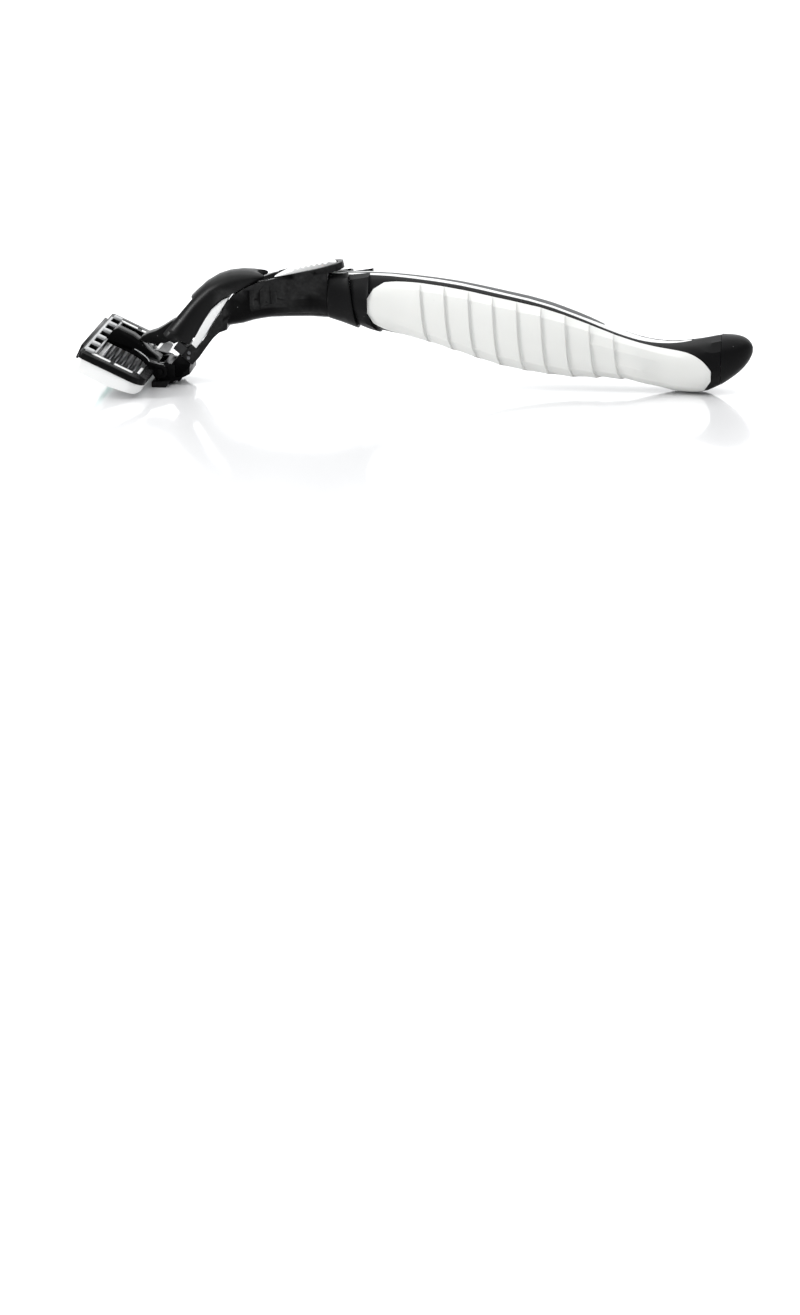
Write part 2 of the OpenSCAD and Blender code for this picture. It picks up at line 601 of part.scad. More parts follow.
module neck_housing() {
    dents = [-34.8, -32.4, -30];
    color([0.07, 0.07, 0.075]) centred() {
        difference() {
            union() {
                loft([for (row = barrel_shape) neck_ring(row, neck_w, true)]);
                button_frame() translate([0, 0, -rim_t]) linear_extrude(rim_t)
                    oval(button_len + 2 * rim_wall + 0.6, button_w + 2 * rim_wall + 0.6);
                slab(concat(lower_arm_under, lower_arm_over, [[-47.9, 8.55], [-49.8, 6]]),
                    -lower_arm_w / 2, lower_arm_w / 2);
            }
            button_pocket();
            dock() block([-1, -nose_w / 2 - seam_gap, nose_z0 - seam_gap],
                [nose_x1 + seam_gap, nose_w / 2 + seam_gap, 3]);
            for (p = dock_pins_at)
                dock() bar_y(-neck_w / 2, neck_w / 2, dock_pin_d, p[0], p[1]);
            block([tongue_x0 - 1, -tongue_w / 2 - seam_gap, tongue_z0 - seam_gap],
                [handle_x0 + 1, tongue_w / 2 + seam_gap, tongue_z1 + seam_gap]);
            dock() block([9, -fork_bay_w / 2, -1], [fork_x1 + 1.5, fork_bay_w / 2, 4]);
            for (x = dents, s = [-1, 1])
                translate([x, s * (neck_w / 2 + 0.42), 15.6]) cylinder(h = 5, r = 0.9);
        }
    }
}

// Room for the button, its rod and its spring
module button_pocket() {
    button_frame() {
        translate([0, 0, -pocket_depth]) linear_extrude(pocket_depth + 3) union() {
            oval(button_len + 2 * free_gap, button_w + 2 * free_gap);
            translate([-button_travel, 0]) oval(button_len + 2 * free_gap, button_w + 2 * free_gap);
        }
        bar_x(spring_wall_x, 0, 2 * spring_mean_r() + spring_wire_d + 2 * free_gap, rod_z);
        bar_x(-24, 0, rod_d + 2 * run_fit, rod_z);
        bar_x(-24, spring_wall_x - spring_wall_t, rod_d + 2 * free_gap, rod_z);
    }
}

function spring_mean_r() = rod_d / 2 + run_fit + 0.15 + spring_wire_d / 2;

module arm_cover() {
    color([0.13, 0.13, 0.135]) centred() {
        difference() {
            loft([for (row = arm_shape) neck_ring(row, arm_w, false)]);
            dock() {
                block([-1, -fork_bay_w / 2, -3], [fork_x1 + 3, fork_bay_w / 2, fork_z1 + free_gap]);
                block([-1, -recess_half_w, 5.4 - arm_recess], [channel_x1, recess_half_w, 9]);
                block([-1, -plunger_w / 2 - free_gap, channel_z0], [channel_x1, plunger_w / 2 + free_gap, 9]);
                block([-1, -plunger_w / 2 - flange_w - free_gap, channel_z0],
                    [channel_x1, plunger_w / 2 + flange_w + free_gap, plunger_z0 + flange_t + free_gap]);
            }
            button_pocket();
        }
    }
}

module dock_head() {
    color([0.2, 0.2, 0.205]) centred() dock() {
        difference() {
            union() {
                block([knuckle_x0, -knuckle_half_w, knuckle_z0], [knuckle_x1, knuckle_half_w, knuckle_z1]);
                block([nose_x0, -nose_w / 2, nose_z0], [nose_x1, nose_w / 2, nose_z1]);
                block([knuckle_x0, -nose_w / 2, nose_z1 - eps], [knuckle_x1, nose_w / 2, knuckle_z0 + eps]);
            }
            for (s = [-1, 1])
                translate([0, s * (fork_half_w - prong_t / 2), 0])
                    block([knuckle_x0 - 1, -prong_t / 2 - free_gap, fork_z0 - free_gap],
                          [knuckle_x1 + 1, prong_t / 2 + free_gap, fork_z1 + free_gap]);
            for (p = dock_pins_at) bar_y(-knuckle_half_w, knuckle_half_w, dock_pin_d, p[0], p[1]);
        }
    }
}

module dock_pins() {
    color("silver") centred() dock()
        for (p = dock_pins_at) bar_y(-dock_pin_len / 2, dock_pin_len / 2, dock_pin_d - 0.02, p[0], p[1]);
}

// Height of the button's crown at x
function crown_z(x) =
    crown_edge + (crown_peak - crown_edge) * (1 - ((x - 1) / (button_len / 2 + 1)) ^ 2);

module eject_button() {
    tooth_x0 = -button_len * 0.16;
    tooth_x1 = button_len * 0.44;
    pitch = (tooth_x1 - tooth_x0) / tooth_count;
    ridge = [for (k = [0:tooth_count - 1], u = [0, 0.5]) let (x = tooth_x0 + (k + u) * pitch)
        [x, crown_z(x) + (u == 0 ? 0 : tooth_h)]];
    front = [for (x = steps(-button_len / 2, tooth_x0 - 0.6, 6)) [x, crown_z(x)]];
    base_z = -pocket_depth + free_gap;
    tail_base_x = (handle_x0 - button_at[0]) / cos(button_angle) - 0.7;
    tail_base_z = -0.95;
    color("white") centred() button_frame() {
        intersection() {
            translate([0, 0, base_z]) linear_extrude(6) oval(button_len, button_w);
            slab(concat([[button_len / 2, tail_base_z], [tail_base_x, tail_base_z], [tail_base_x, base_z],
                [-button_len / 2, base_z]], front, ridge, [[button_len / 2, crown_z(button_len / 2)]]),
                -button_w, button_w);
        }
        bar_x(rod_x0, -button_len / 2 + 2, rod_d, rod_z);
    }
}

module eject_fork() {
    color("dimgray") centred() dock() {
        block([prong_x1 - eps, -fork_half_w, fork_z0], [fork_x1, fork_half_w, fork_z1]);
        for (s = [-1, 1])
            translate([0, s * (fork_half_w - prong_t / 2), 0])
                block([prong_x0, -prong_t / 2, fork_z0], [prong_x1, prong_t / 2, fork_z1]);
    }
}

module eject_spring() {
    color("silver") centred() button_frame() translate([0, 0, rod_z])
        coil(spring_wall_x + 0.05, -button_len / 2 - 0.05, spring_mean_r(), spring_wire_d, spring_turns);
}

// A leaf that slides in the arm's channel and curves out to the cartridge's rib
module pivot_plunger() {
    top = plunger_z1;
    low = plunger_z0;
    outline = [[plunger_x1, low], [plunger_x1, top - 0.3], [plunger_x1 - 0.3, top], [3.7, top + 0.2],
        [1.9, top + 0.72], [0.25, top + 1.3], [-1.2, top + 2.2], [-2.5, top + 2.75], [-3.15, top + 2.85],
        [-3.35, top + 2.6], [-3.2, top + 1.4], [-2.4, top + 0.2], [-1.4, top - 0.9], [-0.2, low + 0.4],
        [0.6, low]];
    color("black") centred() dock() {
        slab(outline, -plunger_w / 2, plunger_w / 2);
        block([1.4, -plunger_w / 2 - flange_w, low], [plunger_x1, plunger_w / 2 + flange_w, low + flange_t]);
    }
}

// ==== Cartridge pieces ====

// The pivot axis as [x, z], before the razor is centred
function pivot_world() =
    [cap_at[0] + pivot_x * cos(cartridge_tilt) + pivot_drop * sin(cartridge_tilt),
     cap_at[2] - pivot_x * sin(cartridge_tilt) + pivot_drop * cos(cartridge_tilt)];

module connector() {
    px = pivot_world()[0];
    pz = pivot_world()[1];
    foot_z1 = pz - lug_r - free_gap;
    cheek_y = lug_y - free_gap - cheek_t / 2;
    half = nose_w / 2 + 0.9;
    color([0.06, 0.06, 0.065]) centred() {
        difference() {
            union() {
                dock() block([nose_x0 - 2, -half, nose_z0 - 1.2],
                    [knuckle_x0 - free_gap, half, nose_z1 + 0.75]);
                dock() block([nose_x0 - 1.1, -half, nose_z1], [nose_x0 - 0.4, half, 0.8]);
                slab([[px - 1.6, 0], [px + 1.5, 0], [px + 2.1, foot_z1], [px - 1.6, foot_z1]],
                    -foot_w / 2, foot_w / 2);
                slab([[px - 1.6, 0], [px + 1.4, 0], [px + 6.1, 2.3], [px + 6.1, 3.9],
                    [px + 4.2, foot_z1 + 0.6], [px - 1.6, foot_z1]],
                    -cheek_y - cheek_t / 2, cheek_y + cheek_t / 2);
                for (s = [-1, 1]) translate([0, s * cheek_y, 0]) {
                    translate([px, 0, pz]) bar_y(-cheek_t / 2, cheek_t / 2, 2 * lug_r);
                    slab([[px - lug_r * 0.8, foot_z1 - 0.3], [px + 3, foot_z1 - 0.3], [px + 3, pz + 1.2],
                          [px + 0.4, pz + lug_r - 0.1]], -cheek_t / 2, cheek_t / 2);
                }
            }
            dock() block([nose_x0 - free_gap, -nose_w / 2 - free_gap / 2, nose_z0 - free_gap / 2],
                [4, nose_w / 2 + free_gap / 2, nose_z1 + free_gap / 2]);
            cut_frame_sweep();
            translate([px - 10, -foot_w, -5]) cube([20, 2 * foot_w, 5]);
            translate([px + 6.1, -foot_w, -5]) cube([5, 2 * foot_w, 20]);
        }
        translate([px, 0, pz]) bar_y(-lug_y - lug_t - 0.4, lug_y + lug_t + 0.4, pivot_d);
    }
}

// Room that the frame's guard edge and the lugs need while the cartridge turns
module cut_frame_sweep() {
    y = lug_y + lug_t / 2;
    w = lug_t + 2 * free_gap;
    for (s = [-1, 1]) translate([pivot_world()[0], s * y, pivot_world()[1]])
        bar_y(-w / 2, w / 2, 2 * (lug_r + free_gap));
}

module frame_windows() {
    pitch = (cartridge_w - 7) / rail_windows;
    for (k = [0:rail_windows - 1])
        translate([1.75, (k - (rail_windows - 1) / 2) * pitch]) square([1.7, pitch * 0.6], center = true);
    translate([(rail_d + cartridge_d - 1.9) / 2, 0])
        square([cartridge_d - 1.9 - rail_d, 2 * (blade_half_w + blade_bite + seam_gap)], center = true);
    for (s = [-1, 1], k = [0, 1])
        translate([2.3 + k * (end_window_len + 0.8), s * end_window_y - end_window_w / 2])
            square([end_window_len, end_window_w]);
}

module cartridge_frame() {
    pitch = (cartridge_w - 7) / rail_windows;
    saddle_w = 2 * (lug_y + lug_t);
    saddle_x0 = 8.6;
    saddle_x1 = cartridge_d - 0.2;
    color([0.09, 0.09, 0.095]) centred() cartridge() {
        difference() {
            union() {
                translate([0, 0, -frame_t]) linear_extrude(frame_t) difference() {
                    plate_outline(0, cartridge_d, cartridge_w, cap_corner_r, cartridge_r);
                    frame_windows();
                }
                for (k = [0:rail_windows - 2])
                    translate([1.75, (k - (rail_windows - 2) / 2) * pitch, -frame_t])
                        cylinder(h = frame_t + 0.5, d = 1.7);
                slab(rib_outline, -tongue_rib_w / 2, tongue_rib_w / 2);
                translate([0, 0, -0.6]) linear_extrude(1.3) difference() {
                    translate([saddle_x0, -saddle_w / 2]) square([saddle_x1 - saddle_x0, saddle_w]);
                    for (s = [-1, 1])
                        translate([saddle_x0 - 0.6, s * (saddle_w / 2 + 0.5)]) circle(r = 5.2);
                }
                for (s = [-1, 1]) translate([0, s * (lug_y + lug_t / 2) - lug_t / 2, 0]) {
                    bar_y(0, lug_t, 2 * lug_r, pivot_x, pivot_drop);
                    slab([[cartridge_d - 2, -0.6], [pivot_x, pivot_drop - lug_r + 0.02],
                          [pivot_x, pivot_drop + lug_r - 0.02], [cartridge_d - 2, 0.7]], 0, lug_t);
                }
            }
            bar_y(-cartridge_w, cartridge_w, pivot_d + 2 * run_fit, pivot_x, pivot_drop);
            for (s = [-1, 1]) cheek_notch(s);
        }
    }
}

// Notch in the cartridge's guard edge for one of the connector's cheeks, in the cartridge frame
module cheek_notch(side) {
    y = side * (lug_y - free_gap - cheek_t / 2);
    half = cheek_t / 2 + free_gap;
    bar_y(y - half, y + half, 2 * (lug_r + free_gap), pivot_x, pivot_drop);
}

// Side outline of blade i: a bent steel support with its edge strip, grown by g for its slot
function blade_outline(i, g = 0) =
    let (z0 = face_z(blade_x(i)) + 0.15) [
    [-blade_t / 2 - g, blade_z1 + g], [blade_t / 2 + g, blade_z1 + g],
    [blade_t / 2 + g, z0 + 0.75], [1.0 + g, z0 + 0.2], [0.95 + g, z0 - g],
    [-blade_t / 2 - g, z0 + 0.55 - g]];

function blade_x(i) = blade_x0 + i * blade_pitch;

module blade(i) {
    color("lightsteelblue") centred() cartridge() translate([blade_x(i), 0, 0])
        slab(blade_outline(i), -blade_half_w - blade_bite, blade_half_w + blade_bite);
}

module blade_1() {
    blade(0);
}

module blade_2() {
    blade(1);
}

module blade_3() {
    blade(2);
}

module blade_4() {
    blade(3);
}

module blade_5() {
    blade(4);
}

module blade_6() {
    blade(5);
}

module cartridge_housing() {
    inset = 0.2;
    z0 = -frame_t - housing_t;
    post_z = 0.05;
    color("white") centred() cartridge() {
        difference() {
            union() {
                translate([0, 0, z0]) linear_extrude(housing_t)
                    plate_outline(inset, cartridge_d - inset, cartridge_w - 2 * inset,
                        cap_corner_r - inset, cartridge_r - inset);
                for (s = [-1, 1], k = [0, 1])
                    translate([2.3 + seam_gap + k * (end_window_len + 0.8),
                               s * end_window_y - end_window_w / 2 + seam_gap, z0 + 1])
                        cube([end_window_len - 2 * seam_gap, end_window_w - 2 * seam_gap,
                              post_z - z0 - 1]);
            }
            block([rail_d + 0.2, -blade_half_w, z0 - 1], [cartridge_d - 2.1, blade_half_w, 1]);
            block([strip_x0 - seam_gap, -strip_half() - seam_gap, z0 - 1],
                  [strip_x1 + seam_gap, strip_half() + seam_gap, 1]);
            for (i = [0:blade_count - 1]) translate([blade_x(i), 0, 0])
                slab(blade_outline(i, 0.03),
                    -blade_half_w - blade_bite - 0.05, blade_half_w + blade_bite + 0.05);
            slab([[8, z0], [cartridge_d + 1, face_z(cartridge_d + 1)],
                [cartridge_d + 1, z0 - 1], [8, z0 - 1]], -cartridge_w, cartridge_w);
            translate([cartridge_d - inset, 0, face_z(cartridge_d)]) rotate([0, -40, 0])
                cube([4, cartridge_w + 2, 0.9], center = true);
            block([cartridge_d - guard_d - seam_gap - 0.1, -blade_half_w - seam_gap, z0 - 1],
                  [cartridge_d - 0.6 + seam_gap, blade_half_w + seam_gap,
                   face_z(cartridge_d - guard_d) + 0.75 + seam_gap]);
            for (s = [-1, 1]) cheek_notch(s);
        }
    }
}

function strip_half() = cartridge_w / 2 - 4.6;

module lubricating_strip() {
    z0 = -frame_t - housing_t - strip_proud;
    color("mediumseagreen") centred() cartridge()
        slab([[strip_x0, -frame_t - 0.2], [strip_x0, z0 + 0.4], [strip_x0 + 0.4, z0],
              [strip_x1 - 0.4, z0], [strip_x1, z0 + 0.4], [strip_x1, -frame_t - 0.2]],
             -strip_half(), strip_half());
}

module guard_fins() {
    x0 = cartridge_d - guard_d - 0.1;
    x1 = cartridge_d - 0.6;
    top = face_z(cartridge_d - guard_d) + 0.75;
    pitch = (x1 - x0) / fin_count;
    teeth = [for (k = [0:fin_count - 1], u = [0, 0.5]) let (x = x1 - (k + u) * pitch)
        [x, face_z(x) + (u == 0 ? 0.1 : -fin_h * 0.4)]];
    color("lightgray") centred() cartridge()
        slab(concat([[x0, top], [x1, top]], teeth, [[x0, face_z(x0) + 0.1]]), -blade_half_w, blade_half_w);
}

module trimmer_guard() {
    tabs = 2;
    w = cartridge_w - 2 * cartridge_r - 6;
    color([0.08, 0.08, 0.085]) centred() cartridge() {
        difference() {
            block([-trimmer_out, -w / 2, -frame_t - 1.9], [-seam_gap, w / 2, -0.1]);
            block([-trimmer_out + 0.25, -w / 2 + 0.8, -frame_t - 2.5], [0.5, w / 2 - 0.8, -0.7]);
            for (y = steps(-w / 2 + 2, w / 2 - 2, 12))
                block([-trimmer_out - 1, y - 0.5, -frame_t - 2.5], [0, y + 0.5, -frame_t - 1.1]);
        }
    }
}

module trimmer_blade() {
    w = cartridge_w - 2 * cartridge_r - 6;
    color("lightsteelblue") centred() cartridge()
        block([-trimmer_out + 0.27, -w / 2 + 0.85, -frame_t - 1.7],
            [-trimmer_out + 0.47, w / 2 - 0.85, -0.75]);
}

core_spine();
handle_shell();
tail_cap();
grip_left();
grip_right();
top_inlay();
top_insert();
collar();
neck_housing();
arm_cover();
dock_head();
dock_pins();
eject_button();
eject_fork();
eject_spring();
pivot_plunger();
connector();
cartridge_frame();
cartridge_housing();
lubricating_strip();
guard_fins();
trimmer_guard();
trimmer_blade();
blade_1();
blade_2();
blade_3();
blade_4();
blade_5();
blade_6();
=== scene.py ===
"""Looks of a cartridge razor: surfaces, finishes, floor, light and camera.

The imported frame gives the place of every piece. Lengths are metres unless a docstring says
otherwise, +X runs from the head to the tail, +Z is up and the razor's mirror plane is Y = 0.
"""

import json
import logging
import math
from dataclasses import dataclass, field
from enum import Enum

import bpy
from mathutils import Matrix, Vector

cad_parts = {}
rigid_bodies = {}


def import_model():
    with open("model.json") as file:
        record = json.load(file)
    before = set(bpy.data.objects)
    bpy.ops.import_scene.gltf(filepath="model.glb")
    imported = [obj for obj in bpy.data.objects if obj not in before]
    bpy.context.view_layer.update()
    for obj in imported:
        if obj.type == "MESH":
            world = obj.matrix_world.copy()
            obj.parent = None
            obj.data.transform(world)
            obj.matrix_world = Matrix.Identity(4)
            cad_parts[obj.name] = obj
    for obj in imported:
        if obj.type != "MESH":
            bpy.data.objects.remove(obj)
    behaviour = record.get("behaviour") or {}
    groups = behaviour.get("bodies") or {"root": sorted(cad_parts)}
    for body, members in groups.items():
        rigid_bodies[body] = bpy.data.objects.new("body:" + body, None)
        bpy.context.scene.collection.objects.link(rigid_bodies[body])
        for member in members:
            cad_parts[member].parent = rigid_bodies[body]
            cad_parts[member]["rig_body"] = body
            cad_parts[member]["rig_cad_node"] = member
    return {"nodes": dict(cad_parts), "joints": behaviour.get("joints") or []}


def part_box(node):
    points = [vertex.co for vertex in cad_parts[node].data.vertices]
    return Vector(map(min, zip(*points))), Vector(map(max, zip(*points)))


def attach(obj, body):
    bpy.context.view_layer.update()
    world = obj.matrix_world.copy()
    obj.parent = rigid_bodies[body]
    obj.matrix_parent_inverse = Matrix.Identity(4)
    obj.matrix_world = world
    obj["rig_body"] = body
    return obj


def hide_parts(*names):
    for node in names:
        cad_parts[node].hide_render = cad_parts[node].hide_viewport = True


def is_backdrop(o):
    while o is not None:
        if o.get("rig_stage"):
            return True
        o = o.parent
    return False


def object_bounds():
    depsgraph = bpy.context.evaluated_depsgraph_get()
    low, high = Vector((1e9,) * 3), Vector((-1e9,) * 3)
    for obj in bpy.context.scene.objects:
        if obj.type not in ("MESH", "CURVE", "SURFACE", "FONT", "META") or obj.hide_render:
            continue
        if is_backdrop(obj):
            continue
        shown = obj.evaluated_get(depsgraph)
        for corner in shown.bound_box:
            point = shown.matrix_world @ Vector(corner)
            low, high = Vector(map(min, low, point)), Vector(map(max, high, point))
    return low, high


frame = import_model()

LOG = logging.getLogger("razor")
MM = 0.001

Tree = bpy.types.NodeTree
Node = bpy.types.Node
Socket = bpy.types.NodeSocket
Piece = bpy.types.Object
Pair = tuple[float, float]
Triple = tuple[float, float, float]
Number = float | Socket
Paint = Triple | Socket


class Body(Enum):
    """The moving bodies of the razor."""

    HANDLE = "handle"
    BUTTON = "button"
    FORK = "fork"
    PLUNGER = "plunger"
    CONNECTOR = "connector"
    CARTRIDGE = "cartridge"


class Smoothing(Enum):
    """How a surface from the frame is finished, with its sharpest smooth edge in degrees."""

    LOFTED = 60.0
    MACHINED = 35.0


class Pattern(Enum):
    """Relief that a finish carries on top of its grain: the group that makes it and its depth."""

    NONE = ("", 0.0)
    CHEVRONS = ("chevrons", 0.25 * MM)
    BRUSHED = ("ground_lines", 0.01 * MM)


# ---- Shared shader effects ----


class Wiring:
    """Adds shader nodes one at a time and links them up."""

    @staticmethod
    def feed(tree: Tree, socket: Socket, value: Number | tuple[float, ...]) -> None:
        """Links a socket to an input, or sets the input to a plain value.

        Args:
            tree: Tree that holds the input.
            socket: Input to feed.
            value: Socket, number or colour that feeds it.
        """
        if isinstance(value, Socket):
            tree.links.new(value, socket)
        else:
            socket.default_value = value

    @staticmethod
    def math(tree: Tree, operation: str, a: Number, b: Number | None = None) -> Socket:
        """Adds a math node.

        Args:
            tree: Tree that takes the node.
            operation: Math operation.
            a: First socket or number.
            b: Second socket or number, if the operation has one.

        Returns:
            The node's value output.
        """
        node = tree.nodes.new("ShaderNodeMath")
        node.operation = operation
        Wiring.feed(tree, node.inputs[0], a)
        if b is not None:
            Wiring.feed(tree, node.inputs[1], b)
        return node.outputs[0]

    @staticmethod
    def noise(tree: Tree, vector: Socket, scale: Number, detail: float, rough: float) -> Socket:
        """Adds a noise texture.

        Args:
            tree: Tree that takes the node.
            vector: Coordinates.
            scale: Number or socket for the scale.
            detail: Number of octaves.
            rough: Roughness of the octaves.

        Returns:
            The noise factor.
        """
        node = tree.nodes.new("ShaderNodeTexNoise")
        node.inputs["Detail"].default_value = detail
        node.inputs["Roughness"].default_value = rough
        tree.links.new(vector, node.inputs["Vector"])
        Wiring.feed(tree, node.inputs["Scale"], scale)
        return node.outputs["Fac"]

    @staticmethod
    def cells(tree: Tree, vector: Socket, scale: Number) -> Socket:
        """Adds a cell texture.

        Args:
            tree: Tree that takes the node.
            vector: Coordinates.
            scale: Number or socket for the scale.

        Returns:
            The distance to the nearest cell's middle.
        """
        node = tree.nodes.new("ShaderNodeTexVoronoi")
        tree.links.new(vector, node.inputs["Vector"])
        Wiring.feed(tree, node.inputs["Scale"], scale)
        return node.outputs["Distance"]

    @staticmethod
    def span(tree: Tree, value: Socket, source: Pair = (0.0, 1.0),
             target: Pair = (0.0, 1.0)) -> Socket:
        """Stretches a value from one range to another.

        Args:
            tree: Tree that takes the node.
            value: Value to stretch.
            source: Range that it comes from.
            target: Range that it goes to.

        Returns:
            The stretched value.
        """
        node = tree.nodes.new("ShaderNodeMapRange")
        ends = ("From Min", "From Max", "To Min", "To Max")
        for name, number in zip(ends, (*source, *target)):
            node.inputs[name].default_value = number
        tree.links.new(value, node.inputs["Value"])
        return node.outputs["Result"]

    @staticmethod
    def mix(tree: Tree, factor: Socket, a: Paint, b: Paint) -> Socket:
        """Mixes two colours.

        Args:
            tree: Tree that takes the node.
            factor: Share of the second colour.
            a: First colour, plain or a socket.
            b: Second colour, plain or a socket.

        Returns:
            The mixed colour.
        """
        node = tree.nodes.new("ShaderNodeMix")
        node.data_type = "RGBA"
        tree.links.new(factor, node.inputs["Factor"])
        for socket, value in ((node.inputs[6], a), (node.inputs[7], b)):
            Wiring.feed(tree, socket, value if isinstance(value, Socket) else (*value, 1.0))
        return node.outputs[2]


@dataclass
class EffectLibrary:
    """Node groups that put out masks and heights for the finishes, and the finished materials.

    Attributes:
        groups: The node groups by name.
        materials: The finishes' materials by name.
        grain_scale: Usual scale of the moulded grain.
        cell_share: Share of the cells in the grain's height.
        slow_share: Scale of the grain's slow unevenness, as a share of its own.
        edge_range: Pointiness at which an edge starts to look rubbed and is fully rubbed.
        painted_shade_range: Pointiness at which painted shade starts in a hollow and at which it is
            full.
        breakup_scale: Scale of the patches that break up rubbed edges.
        smear_scale: Scale of the smears.
        speck_scale: Scale of the specks.
        speck_radius: Radius of a speck, as a share of its cell.
        patch_scale: Scale of the patches that hold specks.
        patch_limit: Noise above which a patch holds specks.
        chevron_pitch: Distance between two feathered grooves.
        chevron_start: Where the grooves start along X.
        chevron_sweep: How far a groove runs back for each unit that it goes sideways.
        chevron_land: Share of the pitch that stays uncut.
        chevron_gap: Half of the plain stripe along the mirror plane.
        line_scale: Scale of the grinding lines.
        line_squash: Scale along the lines, as a share of the scale across them.
    """

    groups: dict[str, Tree] = field(default_factory=dict)
    materials: dict[str, bpy.types.Material] = field(default_factory=dict)
    grain_scale: float = 4000.0
    cell_share: float = 0.6
    slow_share: float = 0.03
    edge_range: Pair = (0.52, 0.62)
    painted_shade_range: Pair = (0.49, 0.43)
    breakup_scale: float = 900.0
    smear_scale: float = 90.0
    speck_scale: float = 700.0
    speck_radius: float = 0.07
    patch_scale: float = 260.0
    patch_limit: float = 0.6
    chevron_pitch: float = 2.1 * MM
    chevron_start: float = 39.2 * MM
    chevron_sweep: float = 1.7
    chevron_land: float = 0.82
    chevron_gap: float = 0.25 * MM
    line_scale: float = 9000.0
    line_squash: float = 0.03

    def _new(self, name: str, inputs: dict[str, float], outputs: list[str]) -> Tree:
        """Makes an empty group with a Vector input, number inputs and number outputs.

        Args:
            name: Name of the group.
            inputs: Number inputs and their default values.
            outputs: Number outputs.

        Returns:
            The new group.
        """
        tree = bpy.data.node_groups.new(name, "ShaderNodeTree")
        face = tree.interface
        face.new_socket("Vector", in_out="INPUT", socket_type="NodeSocketVector")
        for key, value in inputs.items():
            socket = face.new_socket(key, in_out="INPUT", socket_type="NodeSocketFloat")
            socket.default_value = value
        for key in outputs:
            face.new_socket(key, in_out="OUTPUT", socket_type="NodeSocketFloat")
        tree.nodes.new("NodeGroupInput").name = "in"
        tree.nodes.new("NodeGroupOutput").name = "out"
        self.groups[name] = tree
        return tree

    def place(self, tree: Tree, name: str, vector: Socket) -> Node:
        """Adds a shared group to a material and feeds it coordinates.

        Args:
            tree: The material's tree.
            name: Name of the group.
            vector: Coordinates.

        Returns:
            The group's node.
        """
        node = tree.nodes.new("ShaderNodeGroup")
        node.node_tree = self.groups[name]
        tree.links.new(vector, node.inputs["Vector"])
        return node

    def grain(self) -> None:
        """Fine moulded grain: a height and a slow unevenness."""
        tree = self._new("moulded_grain", {"Scale": self.grain_scale}, ["Height", "Unevenness"])
        vector = tree.nodes["in"].outputs["Vector"]
        scale = tree.nodes["in"].outputs["Scale"]
        take = tree.nodes["out"].inputs
        fine = Wiring.noise(tree, vector, scale, detail=3.0, rough=0.6)
        cells = Wiring.math(tree, "MULTIPLY", Wiring.cells(tree, vector, scale), self.cell_share)
        tree.links.new(Wiring.math(tree, "ADD", fine, cells), take["Height"])
        slow_scale = Wiring.math(tree, "MULTIPLY", scale, self.slow_share)
        slow = Wiring.noise(tree, vector, slow_scale, detail=4.0, rough=0.55)
        tree.links.new(slow, take["Unevenness"])

    def wear_and_painted_shade(self) -> None:
        """Wear, dust and painted shade: rubbed edges, painted shade in hollows, faint smears and
        sparse specks.
        """
        tree = self._new("wear_and_painted_shade", {"Amount": 0.5}, ["Edges", "PaintedShade", "Smears", "Specks"])
        vector = tree.nodes["in"].outputs["Vector"]
        amount = tree.nodes["in"].outputs["Amount"]
        take = tree.nodes["out"].inputs
        pointiness = tree.nodes.new("ShaderNodeNewGeometry").outputs["Pointiness"]
        rubbed = Wiring.span(tree, pointiness, self.edge_range)
        breakup = Wiring.noise(tree, vector, self.breakup_scale, detail=3.0, rough=0.6)
        edges = Wiring.math(tree, "MULTIPLY", rubbed, breakup)
        tree.links.new(Wiring.math(tree, "MULTIPLY", edges, amount), take["Edges"])
        # Painted shade: hollows, where the pointiness is low, are darkened in the colour.
        tree.links.new(Wiring.span(tree, pointiness, self.painted_shade_range), take["PaintedShade"])
        smear = Wiring.noise(tree, vector, self.smear_scale, detail=5.0, rough=0.62)
        smear = Wiring.math(tree, "SUBTRACT", smear, 0.5)
        tree.links.new(Wiring.math(tree, "MULTIPLY", smear, amount), take["Smears"])
        distance = Wiring.cells(tree, vector, self.speck_scale)
        speck = Wiring.math(tree, "LESS_THAN", distance, self.speck_radius)
        patches = Wiring.noise(tree, vector, self.patch_scale, detail=1.0, rough=0.5)
        sparse = Wiring.math(tree, "GREATER_THAN", patches, self.patch_limit)
        tree.links.new(Wiring.math(tree, "MULTIPLY", speck, sparse), take["Specks"])

    def chevrons(self) -> None:
        """Feathered grooves that sweep back from the mirror plane, past a given X."""
        sizes = {"Pitch": self.chevron_pitch, "Start": self.chevron_start}
        tree = self._new("chevrons", sizes, ["Height"])
        give = tree.nodes["in"].outputs
        parts = tree.nodes.new("ShaderNodeSeparateXYZ")
        tree.links.new(give["Vector"], parts.inputs[0])
        along = parts.outputs["X"]
        side = Wiring.math(tree, "ABSOLUTE", parts.outputs["Y"])
        lag = Wiring.math(tree, "MULTIPLY", side, self.chevron_sweep)
        swept = Wiring.math(tree, "SUBTRACT", along, lag)
        turn = Wiring.math(tree, "FRACT", Wiring.math(tree, "DIVIDE", swept, give["Pitch"]))
        groove = Wiring.math(tree, "GREATER_THAN", turn, self.chevron_land)
        past = Wiring.math(tree, "GREATER_THAN", along, give["Start"])
        beside = Wiring.math(tree, "GREATER_THAN", side, self.chevron_gap)
        cut = Wiring.math(tree, "MULTIPLY", Wiring.math(tree, "MULTIPLY", groove, past), beside)
        height = Wiring.math(tree, "SUBTRACT", 1.0, cut)
        tree.links.new(height, tree.nodes["out"].inputs["Height"])

